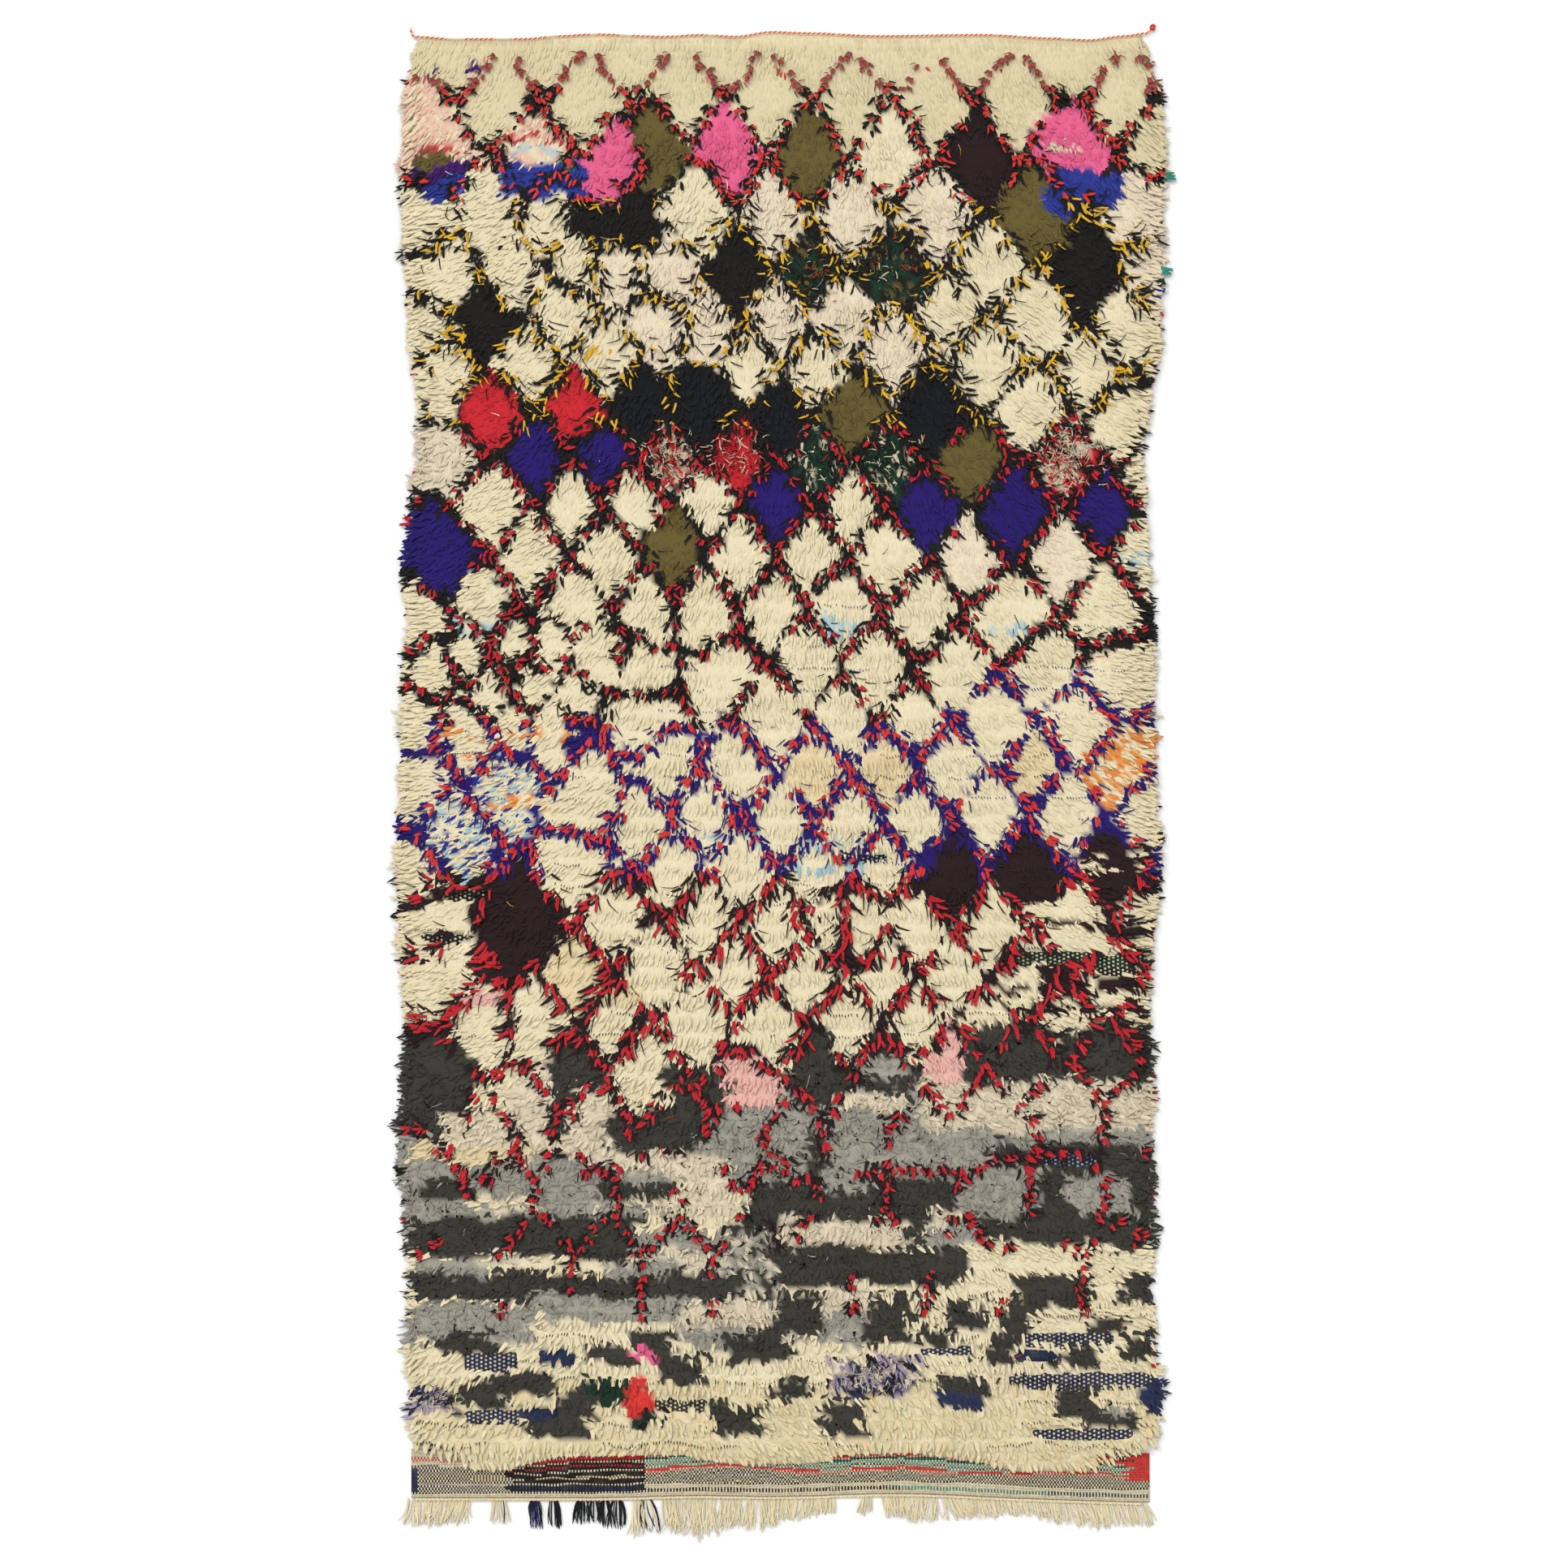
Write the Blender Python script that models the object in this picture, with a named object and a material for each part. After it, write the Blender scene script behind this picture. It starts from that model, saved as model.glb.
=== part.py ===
"""A boucherouite rug lying flat on the floor, face up. Metres, +Z up, heading towards +Y.

Places across the rug are measured from its centre line, and places along it are measured
down from the heading, as a weaver counts them. The frame's origin is under the middle of it.
"""

import math
import random
from typing import NamedTuple

import bmesh
import bpy
from mathutils import Vector
from mathutils.geometry import delaunay_2d_cdt

# Driving sizes of the woven cloth
WOVEN_LENGTH = 2.485
OVERALL_LENGTH = 2.578
KNOT_REACH = 0.019  # how far the corner tails of the heading cord stand past the heading
MIDDLE = OVERALL_LENGTH / 2 - KNOT_REACH
CLEARANCE = 0.00036
SEED = 41

# Thickness of the cloth and its pile
RIDGE_HEIGHT = 0.0220
FURROW_HEIGHT = 0.0138
HEIGHT_SCATTER = 0.0026
RIM_HEIGHT = 0.0100
LOCK_TIP_HEIGHT = 0.0045
HEADING_HEIGHT = 0.0070
FLAT_WEAVE_HEIGHT = 0.0052
FLAT_WEAVE_RIB = 0.0007

# Spacing of the lumps in the pile
FIRST_ROW = 0.022
ROW_SPACING = 0.029
LUMP_SPACING = 0.049
LUMP_JITTER = 0.0085
FIELD_HALF_WIDTH = 0.680
RIM_INSET = 0.016
LUMP_INSET = 0.024
SHOULDER_SPACING = 0.039

# Flat-woven end
BORDER_STEP = 0.004
BORDER_SPACING = 0.039
BORDER_INSET = 0.006
RIB_INSET = 0.010
RIB_PLACES = ((0.40, 1.0), (0.72, -1.0))
CORNER_ROUNDING = 0.012

# Locks along the two sides
FIRST_LOCK = 0.012
SIDE_LOCK_SPACING = 0.031
SIDE_LOCK_WIDTH = 0.013
SIDE_LOCK_DRIFT = 0.006
LOCK_ROOT_SHARE = 0.46
LOCK_TIP_SHARE = 0.35

# Heading cord
CORD_HALF_LAY = 0.0105
CORD_RADIUS = 0.0036
CORD_WAIST = 0.0029
CORD_SIDES = 6
KNOT_RADIUS = 0.0052

# Fringe
FRINGE_STRIP_WIDTH = 0.007
FRINGE_STRIP_HEIGHT = 0.0046
FRINGE_LOCK_SPACING = 0.0155
FRINGE_LOCK_HALF_WIDTH = 0.0052
FRINGE_TIP_HALF_WIDTH = 0.0019
FRINGE_LOCK_HEIGHT = 0.0066
FRINGE_EDGE_HEIGHT = 0.0022
FRINGE_TIP_HEIGHT = 0.0026
FRINGE_SWAY = 0.0045
FRINGE_SHORTEST = 0.72


class SidePoint(NamedTuple):
    down: float
    left: float
    right: float
    lock_left: float
    lock_right: float


# The two sides, and how far the locks stand out from them there
SIDES = [
    SidePoint(0.000, -0.628, 0.618, 0.004, 0.006),
    SidePoint(0.100, -0.643, 0.642, 0.008, 0.007),
    SidePoint(0.200, -0.648, 0.646, 0.012, 0.012),
    SidePoint(0.300, -0.646, 0.640, 0.020, 0.013),
    SidePoint(0.400, -0.638, 0.640, 0.016, 0.032),
    SidePoint(0.500, -0.636, 0.640, 0.010, 0.014),
    SidePoint(0.600, -0.618, 0.619, 0.013, 0.010),
    SidePoint(0.700, -0.620, 0.606, 0.010, 0.015),
    SidePoint(0.800, -0.630, 0.615, 0.012, 0.012),
    SidePoint(0.900, -0.648, 0.620, 0.014, 0.012),
    SidePoint(1.000, -0.636, 0.625, 0.012, 0.026),
    SidePoint(1.100, -0.648, 0.628, 0.010, 0.012),
    SidePoint(1.200, -0.648, 0.630, 0.010, 0.014),
    SidePoint(1.300, -0.652, 0.634, 0.012, 0.010),
    SidePoint(1.400, -0.654, 0.640, 0.022, 0.024),
    SidePoint(1.500, -0.650, 0.629, 0.016, 0.014),
    SidePoint(1.600, -0.644, 0.620, 0.012, 0.020),
    SidePoint(1.700, -0.640, 0.622, 0.012, 0.012),
    SidePoint(1.800, -0.650, 0.630, 0.012, 0.012),
    SidePoint(1.900, -0.654, 0.629, 0.020, 0.014),
    SidePoint(2.000, -0.643, 0.630, 0.012, 0.014),
    SidePoint(2.100, -0.634, 0.626, 0.010, 0.010),
    SidePoint(2.200, -0.638, 0.632, 0.010, 0.012),
    SidePoint(2.300, -0.634, 0.643, 0.012, 0.010),
    SidePoint(2.400, -0.626, 0.632, 0.004, 0.004),
    SidePoint(2.485, -0.626, 0.612, 0.000, 0.000),
]


class EndPoint(NamedTuple):
    across: float
    rise: float


# How far the heading stands above its mean line, from left to right
HEADING_WAVES = [
    EndPoint(-0.628, 0.000),
    EndPoint(-0.560, -0.004),
    EndPoint(-0.440, -0.004),
    EndPoint(-0.380, 0.001),
    EndPoint(-0.320, 0.004),
    EndPoint(-0.200, 0.000),
    EndPoint(-0.140, 0.003),
    EndPoint(-0.080, 0.000),
    EndPoint(-0.020, 0.008),
    EndPoint(0.040, 0.006),
    EndPoint(0.160, 0.001),
    EndPoint(0.340, 0.003),
    EndPoint(0.460, -0.003),
    EndPoint(0.520, -0.006),
    EndPoint(0.580, 0.001),
    EndPoint(0.618, 0.006),
]


class FootPoint(NamedTuple):
    across: float
    pile_end: float
    weave_end: float
    fringe_end: float


# Where the pile stops, the flat weave stops and the fringe stops, down from the heading
FOOT = [
    FootPoint(-0.630, 2.435, 2.482, 2.532),
    FootPoint(-0.560, 2.428, 2.482, 2.547),
    FootPoint(-0.500, 2.425, 2.482, 2.527),
    FootPoint(-0.440, 2.415, 2.482, 2.536),
    FootPoint(-0.380, 2.408, 2.482, 2.545),
    FootPoint(-0.320, 2.403, 2.482, 2.532),
    FootPoint(-0.260, 2.400, 2.481, 2.552),
    FootPoint(-0.200, 2.405, 2.479, 2.542),
    FootPoint(-0.140, 2.411, 2.478, 2.557),
    FootPoint(-0.080, 2.418, 2.479, 2.547),
    FootPoint(-0.020, 2.425, 2.480, 2.545),
    FootPoint(0.040, 2.420, 2.479, 2.521),
    FootPoint(0.100, 2.408, 2.477, 2.499),
    FootPoint(0.160, 2.402, 2.475, 2.521),
    FootPoint(0.220, 2.400, 2.475, 2.535),
    FootPoint(0.280, 2.412, 2.477, 2.525),
    FootPoint(0.340, 2.422, 2.480, 2.523),
    FootPoint(0.400, 2.431, 2.483, 2.516),
    FootPoint(0.460, 2.437, 2.485, 2.535),
    FootPoint(0.520, 2.440, 2.487, 2.542),
    FootPoint(0.580, 2.432, 2.489, 2.536),
    FootPoint(0.620, 2.430, 2.490, 2.540),
]


class Bare(NamedTuple):
    start: float
    end: float


# Stretches of the foot where the fringe is worn away
BARE_STRETCHES = [
    Bare(-0.528, -0.492),
    Bare(-0.463, -0.443),
    Bare(-0.372, -0.358),
    Bare(-0.258, -0.250),
]


LAST_FULL_ROW = min(row.pile_end for row in FOOT)


class LockSection(NamedTuple):
    along: float
    width: float
    height: float


# A fringe lock from its root to near its tip, as shares of its length and half width
FRINGE_LOCK = [
    LockSection(0.05, 1.00, FRINGE_STRIP_HEIGHT),
    LockSection(0.40, 1.05, FRINGE_LOCK_HEIGHT),
    LockSection(0.75, 0.85, FRINGE_LOCK_HEIGHT * 0.9),
]


class CordSection(NamedTuple):
    across: float
    up: float
    facing: tuple
    radius: float


# The cord's two tails, each place measured from the end of its run along the heading
LEFT_TAIL = [
    CordSection(-0.0050, 0.0140, (-0.85, 0.35), 0.0016),
    CordSection(-0.0045, 0.0085, (-0.75, 0.55), CORD_WAIST),
    CordSection(-0.0030, 0.0035, (-0.45, 0.90), CORD_RADIUS),
]
RIGHT_TAIL = [
    CordSection(0.0045, 0.0030, (-0.65, 0.75), CORD_WAIST),
    CordSection(0.0070, 0.0070, (-0.75, 0.65), KNOT_RADIUS * 0.9),
    CordSection(0.0098, 0.0102, (-0.75, 0.65), KNOT_RADIUS * 0.8),
    CordSection(0.0110, 0.0125, (-0.75, 0.65), 0.0018),
]


def smooth_between(rows, key, value, place):
    """Read a table's column at a place, easing from row to row."""
    if place <= getattr(rows[0], key):
        return getattr(rows[0], value)
    for low, high in zip(rows, rows[1:]):
        start, end = getattr(low, key), getattr(high, key)
        if place <= end:
            part = (place - start) / (end - start)
            part = part * part * (3 - 2 * part)
            return getattr(low, value) * (1 - part) + getattr(high, value) * part
    return getattr(rows[-1], value)


def side(column, down):
    return smooth_between(SIDES, "down", column, down)


def foot(column, across):
    return smooth_between(FOOT, "across", column, across)


def heading_rise(across):
    return smooth_between(HEADING_WAVES, "across", "rise", across)


def place_on_plan(across, down):
    """Turn a place on the cloth into a point on the floor plan of the frame."""
    return Vector((across, MIDDLE - down))


def stations(start, end, spacing):
    count = max(2, round(abs(end - start) / spacing))
    return [start + (end - start) * k / count for k in range(count + 1)]


def principled(name, colour, roughness):
    material = bpy.data.materials.new(name)
    material.use_nodes = True
    shader = material.node_tree.nodes["Principled BSDF"]
    shader.inputs["Base Color"].default_value = (*colour, 1.0)
    shader.inputs["Roughness"].default_value = roughness
    shader.inputs["Metallic"].default_value = 0.0
    material.diffuse_color = (*colour, 1.0)
    return material


def add_object(name, mesh, material):
    obj = bpy.data.objects.new(name, mesh)
    bpy.context.scene.collection.objects.link(obj)
    mesh.materials.append(material)
    return obj


class Plan:
    """Points on the floor plan, each with the height of the cloth above it."""

    def __init__(self):
        self.points = []
        self.heights = []
        self.lines = []

    def add(self, point, height):
        self.points.append(Vector(point))
        self.heights.append(height)
        return len(self.points) - 1

    def add_line(self, indices, closed=False):
        ends = indices[1:] + (indices[:1] if closed else [])
        self.lines.extend(zip(indices, ends))

    def solid(self, name, outline, material):
        """Make the closed solid between the floor and the heights, inside the outline."""
        plan, _, triangles, sources, _, _ = delaunay_2d_cdt(
            self.points, self.lines, [outline], 1, 1e-7
        )
        mesh = bmesh.new()
        heights = [max(self.heights[k] for k in found) for found in sources]
        top = [mesh.verts.new((p.x, p.y, h)) for p, h in zip(plan, heights)]
        floor = [mesh.verts.new((p.x, p.y, 0.0)) for p in plan]
        for triangle in triangles:
            mesh.faces.new([top[k] for k in triangle])
            mesh.faces.new([floor[k] for k in reversed(triangle)])
        edges = {}
        for triangle in triangles:
            for a, b in zip(triangle, triangle[1:] + triangle[:1]):
                edges[(a, b)] = (b, a) not in edges
                if (b, a) in edges:
                    edges[(b, a)] = False
        for (a, b), rim in edges.items():
            if rim:
                mesh.faces.new([top[b], top[a], floor[a], floor[b]])
        loose = [v for v in mesh.verts if not v.link_faces]
        bmesh.ops.delete(mesh, geom=loose, context="VERTS")
        bmesh.ops.triangulate(mesh, faces=mesh.faces[:])
        bmesh.ops.recalc_face_normals(mesh, faces=mesh.faces[:])
        data = bpy.data.meshes.new(name)
        mesh.to_mesh(data)
        mesh.free()
        return add_object(name, data, material)


def side_locks(plan, column, lock_column, outward, chance):
    """Add one side of the rug from the heading to the foot, with its locks standing out."""
    rim = []
    spots = stations(FIRST_LOCK, LAST_FULL_ROW, SIDE_LOCK_SPACING)
    for down in spots[:-1]:
        reach = side(lock_column, down) * chance.uniform(0.55, 1.25)
        width = SIDE_LOCK_WIDTH * chance.uniform(0.8, 1.25)
        lean = chance.uniform(-SIDE_LOCK_DRIFT, SIDE_LOCK_DRIFT) + 0.3 * SIDE_LOCK_DRIFT
        middle = down + SIDE_LOCK_SPACING / 2
        near_tip = middle + lean - width * LOCK_TIP_SHARE
        far_tip = middle + lean + width * LOCK_TIP_SHARE
        corners = [
            (middle - SIDE_LOCK_SPACING * LOCK_ROOT_SHARE, 0.0, RIM_HEIGHT),
            (near_tip, reach, LOCK_TIP_HEIGHT),
            (far_tip, reach * chance.uniform(0.75, 1.0), LOCK_TIP_HEIGHT),
        ]
        for along, out, height in corners:
            across = side(column, along) + outward * out
            rim.append(plan.add(place_on_plan(across, along), height))
    return rim


def side_of_flat_weave(plan, column):
    edge = side(column, WOVEN_LENGTH)
    start = foot("pile_end", edge) + BORDER_STEP
    end = foot("weave_end", edge) - CORNER_ROUNDING
    spots = [place_on_plan(side(column, down), down) for down in (start, end)]
    return [plan.add(spot, FLAT_WEAVE_HEIGHT) for spot in spots]


def heading_places():
    left, right = SIDES[0].left, SIDES[0].right
    places = stations(left, right, CORD_HALF_LAY)
    return [(across, -heading_rise(across)) for across in places]


def weave_end_places():
    left, right = SIDES[-1].left, SIDES[-1].right
    places = stations(left, right, FRINGE_LOCK_SPACING * 2)
    return [(across, foot("weave_end", across)) for across in places]


def inside_pile(across, down, inset):
    left = side("left", down) + inset
    right = side("right", down) - inset
    lowest = foot("pile_end", across) - inset
    return left < across < right and down < lowest


def lumps(plan, chance):
    """Scatter the pile's lumps in rows: ridges of upstanding pile, furrows between them."""
    rows = stations(FIRST_ROW, WOVEN_LENGTH, ROW_SPACING)
    for count, row in enumerate(rows):
        crest = RIDGE_HEIGHT if count % 2 else FURROW_HEIGHT
        shift = LUMP_SPACING * (0.5 if count % 2 else 0.0)
        places = stations(-FIELD_HALF_WIDTH + shift, FIELD_HALF_WIDTH + shift, LUMP_SPACING)
        for across in places:
            x = across + chance.uniform(-LUMP_JITTER, LUMP_JITTER)
            down = row + chance.uniform(-LUMP_JITTER, LUMP_JITTER)
            height = crest + chance.uniform(-HEIGHT_SCATTER, HEIGHT_SCATTER)
            if inside_pile(x, down, LUMP_INSET):
                plan.add(place_on_plan(x, down), height)


def shoulder(plan, chance):
    """Add the rounded shoulder of the pile, a little inside the two sides."""
    for column, inward in (("left", 1), ("right", -1)):
        for down in stations(FIRST_ROW, LAST_FULL_ROW - RIM_INSET, SHOULDER_SPACING):
            across = side(column, down) + inward * RIM_INSET
            height = FURROW_HEIGHT + chance.uniform(0.0, HEIGHT_SCATTER)
            plan.add(place_on_plan(across, down), height)


def end_of_pile(plan):
    """Add the step from the last row of pile down to the flat weave."""
    left = side("left", FOOT[0].pile_end) + BORDER_INSET
    right = side("right", FOOT[-1].pile_end) - BORDER_INSET
    places = stations(left, right, BORDER_SPACING)
    for offset, height in ((-BORDER_STEP, FURROW_HEIGHT), (BORDER_STEP, FLAT_WEAVE_HEIGHT)):
        line = [
            plan.add(place_on_plan(x, foot("pile_end", x) + offset), height) for x in places
        ]
        plan.add_line(line)


def flat_weave(plan):
    """Add the two broad ribs that the thicker wefts make in the flat-woven end."""
    left = SIDES[-1].left + RIB_INSET
    right = SIDES[-1].right - RIB_INSET
    for part, rib in RIB_PLACES:
        line = []
        for x in stations(left, right, LUMP_SPACING):
            start = foot("pile_end", x) + BORDER_STEP
            down = start + (foot("weave_end", x) - start) * part
            height = FLAT_WEAVE_HEIGHT + rib * FLAT_WEAVE_RIB
            line.append(plan.add(place_on_plan(x, down), height))
        plan.add_line(line)


def make_rug_field():
    """The rug: knotted pile and its flat-woven end, one cloth."""
    chance = random.Random(SEED)
    plan = Plan()
    heading = [plan.add(place_on_plan(x, down), HEADING_HEIGHT) for x, down in heading_places()]
    right = side_locks(plan, "right", "lock_right", 1, chance)
    right += side_of_flat_weave(plan, "right")
    foot_edge = [
        plan.add(place_on_plan(x, down), FLAT_WEAVE_HEIGHT) for x, down in weave_end_places()
    ]
    left = side_locks(plan, "left", "lock_left", -1, chance)
    left += side_of_flat_weave(plan, "left")
    outline = heading + right + foot_edge[::-1] + left[::-1]
    plan.add_line(outline, closed=True)
    shoulder(plan, chance)
    lumps(plan, chance)
    end_of_pile(plan)
    flat_weave(plan)
    wool = principled("knotted_pile", (0.78, 0.71, 0.54), 0.95)
    return plan.solid("rug_field", outline[::-1], wool)


def is_bare(across):
    return any(gap.start < across < gap.end for gap in BARE_STRETCHES)


def fringe_lock(plan, root, reach, sway, half_width):
    """Add one lock below the strip and return its outline and its ridge."""
    left, right, ridge = [], [], []
    for section in FRINGE_LOCK:
        bend = sway * section.along * section.along
        middle = root + Vector((bend, -reach * section.along))
        half = Vector((half_width * section.width, 0.0))
        left.append(plan.add(middle - half, FRINGE_EDGE_HEIGHT))
        right.append(plan.add(middle + half, FRINGE_EDGE_HEIGHT))
        ridge.append(plan.add(middle, section.height))
    tip = root + Vector((sway, -reach))
    half = Vector((FRINGE_TIP_HALF_WIDTH, 0.0))
    tips = [plan.add(tip - half, FRINGE_TIP_HEIGHT), plan.add(tip + half, FRINGE_TIP_HEIGHT)]
    plan.add_line(ridge)
    return left + tips + right[::-1]


def make_warp_fringe():
    """The fringe: locks of cut warp, fused to a narrow strip just off the cloth's edge."""
    chance = random.Random(SEED + 1)
    plan = Plan()
    ends = weave_end_places()
    top = []
    for x, down in ends:
        top.append(plan.add(place_on_plan(x, down + CLEARANCE), FRINGE_STRIP_HEIGHT))
    left, right = ends[0][0], ends[-1][0]
    below = []
    margin = FRINGE_LOCK_SPACING * 0.5
    sway = 0.0
    for x in stations(left + margin, right - margin, FRINGE_LOCK_SPACING):
        sway = 0.7 * sway + chance.uniform(-FRINGE_SWAY, FRINGE_SWAY)
        shorter = chance.uniform(FRINGE_SHORTEST, 1.0)
        if is_bare(x):
            continue
        root = place_on_plan(x, foot("weave_end", x) + FRINGE_STRIP_WIDTH)
        reach = (foot("fringe_end", x) - foot("weave_end", x) - FRINGE_STRIP_WIDTH) * shorter
        half_width = FRINGE_LOCK_HALF_WIDTH * chance.uniform(0.85, 1.1)
        below += fringe_lock(plan, root, reach, sway, half_width)
    corners = [place_on_plan(x, down + FRINGE_STRIP_WIDTH) for x, down in (ends[0], ends[-1])]
    first, last = [plan.add(corner, FRINGE_STRIP_HEIGHT) for corner in corners]
    outline = [first] + below + [last] + top[::-1]
    plan.add_line(outline, closed=True)
    cotton = principled("warp_yarn", (0.80, 0.73, 0.56), 0.9)
    return plan.solid("warp_fringe", outline, cotton)


def ring(mesh, centre, facing, radius):
    """Add one section of the cord, standing on the floor on a flat side."""
    lift = radius * math.sin(math.pi / 3)
    corners = []
    for k in range(CORD_SIDES):
        turn = 2 * math.pi * k / CORD_SIDES
        spot = centre + facing.normalized() * (radius * math.cos(turn))
        corners.append(mesh.verts.new((spot.x, spot.y, lift + radius * math.sin(turn))))
    return corners


def tail_from(corner, table):
    """Set a tail's sections out from the corner of the heading where it leaves."""
    sections = []
    for row in table:
        sections.append((corner + Vector((row.across, row.up)), Vector(row.facing), row.radius))
    return sections


def cord_sections():
    """The places of the cord's sections: left tail, run along the heading, right tail."""
    edge = [place_on_plan(x, down) for x, down in heading_places()]
    run = []
    for k, point in enumerate(edge):
        before = edge[max(k - 1, 0)]
        after = edge[min(k + 1, len(edge) - 1)]
        along = (after - before).normalized()
        sideways = Vector((-along.y, along.x))
        radius = CORD_WAIST if k % 2 else CORD_RADIUS
        run.append((point + sideways * (CLEARANCE + radius), sideways, radius))
    left = tail_from(run[0][0], LEFT_TAIL)
    right = tail_from(run[-1][0], RIGHT_TAIL)
    return left + run + right


def make_heading_cord():
    """The twined cord along the heading, thick and thin by turns as its two strands cross."""
    mesh = bmesh.new()
    rings = [ring(mesh, *section) for section in cord_sections()]
    for near, far in zip(rings, rings[1:]):
        for k in range(CORD_SIDES):
            after = (k + 1) % CORD_SIDES
            mesh.faces.new([near[k], near[after], far[after], far[k]])
    mesh.faces.new(rings[0][::-1])
    mesh.faces.new(rings[-1])
    bmesh.ops.triangulate(mesh, faces=mesh.faces[:])
    bmesh.ops.recalc_face_normals(mesh, faces=mesh.faces[:])
    data = bpy.data.meshes.new("heading_cord")
    mesh.to_mesh(data)
    mesh.free()
    twine = principled("heading_twine", (0.72, 0.22, 0.08), 0.85)
    return add_object("heading_cord", data, twine)


def main():
    for obj in list(bpy.data.objects):
        bpy.data.objects.remove(obj, do_unlink=True)
    make_rug_field()
    make_warp_fringe()
    make_heading_cord()


main()
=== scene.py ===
"""A boucherouite rug: rag and wool pile knotted on a woven ground, lying flat, seen from above.

Lengths are in metres. The charts of the pattern are in centimetres, as a weaver counts them:
across from the rug's centre line, and down from its heading.
"""

import math
import re
from functools import cache
from typing import NamedTuple

import bpy
import numpy as np
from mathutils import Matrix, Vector


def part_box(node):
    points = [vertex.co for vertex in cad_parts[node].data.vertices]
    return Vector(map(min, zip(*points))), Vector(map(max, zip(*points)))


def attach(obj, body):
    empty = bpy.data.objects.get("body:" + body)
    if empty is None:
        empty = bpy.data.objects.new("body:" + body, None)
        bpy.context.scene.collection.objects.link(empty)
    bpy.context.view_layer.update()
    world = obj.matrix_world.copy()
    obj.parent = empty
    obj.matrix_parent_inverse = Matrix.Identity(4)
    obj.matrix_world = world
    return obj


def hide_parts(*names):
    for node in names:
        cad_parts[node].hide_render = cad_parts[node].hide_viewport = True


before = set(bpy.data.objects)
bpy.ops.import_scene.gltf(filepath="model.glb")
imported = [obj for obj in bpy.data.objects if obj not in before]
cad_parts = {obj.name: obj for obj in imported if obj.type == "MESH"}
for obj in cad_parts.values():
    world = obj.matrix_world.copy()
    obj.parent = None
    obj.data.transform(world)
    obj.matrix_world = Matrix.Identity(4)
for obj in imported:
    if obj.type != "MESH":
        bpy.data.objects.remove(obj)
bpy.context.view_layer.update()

CM = 0.01
SEED = 7
chance = np.random.default_rng(SEED)

# The ground cloth and the heading, from which lengths down the rug are counted
HEADING_RISE = 0.008
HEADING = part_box("rug_field")[1].y - HEADING_RISE
GROUND_TOP = 0.0032
GROUND_FLOOR = 0.0003

# The knotted pile: its rows, how far the knots wander, and the height of its loose ends
FIRST_KNOTS = 0.001
PILE_LENGTH = 2.44
ROW_PITCH = 0.0122
KNOT_PITCH = 0.0062
KNOT_WANDER = 0.0017
ROW_WANDER = 0.0024
PILE_INSET = 0.010
PILE_LIFT = 0.0122
PILE_LUMPS = 0.0030
EDGE_LIFT = 0.38
EDGE_FALL = 0.045
ROWS_IN_RIDGE = 3


class Yarn(NamedTuple):
    name: str
    slot: str
    light: str
    dark: str
    width: float
    curl: float
    felt: float


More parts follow.
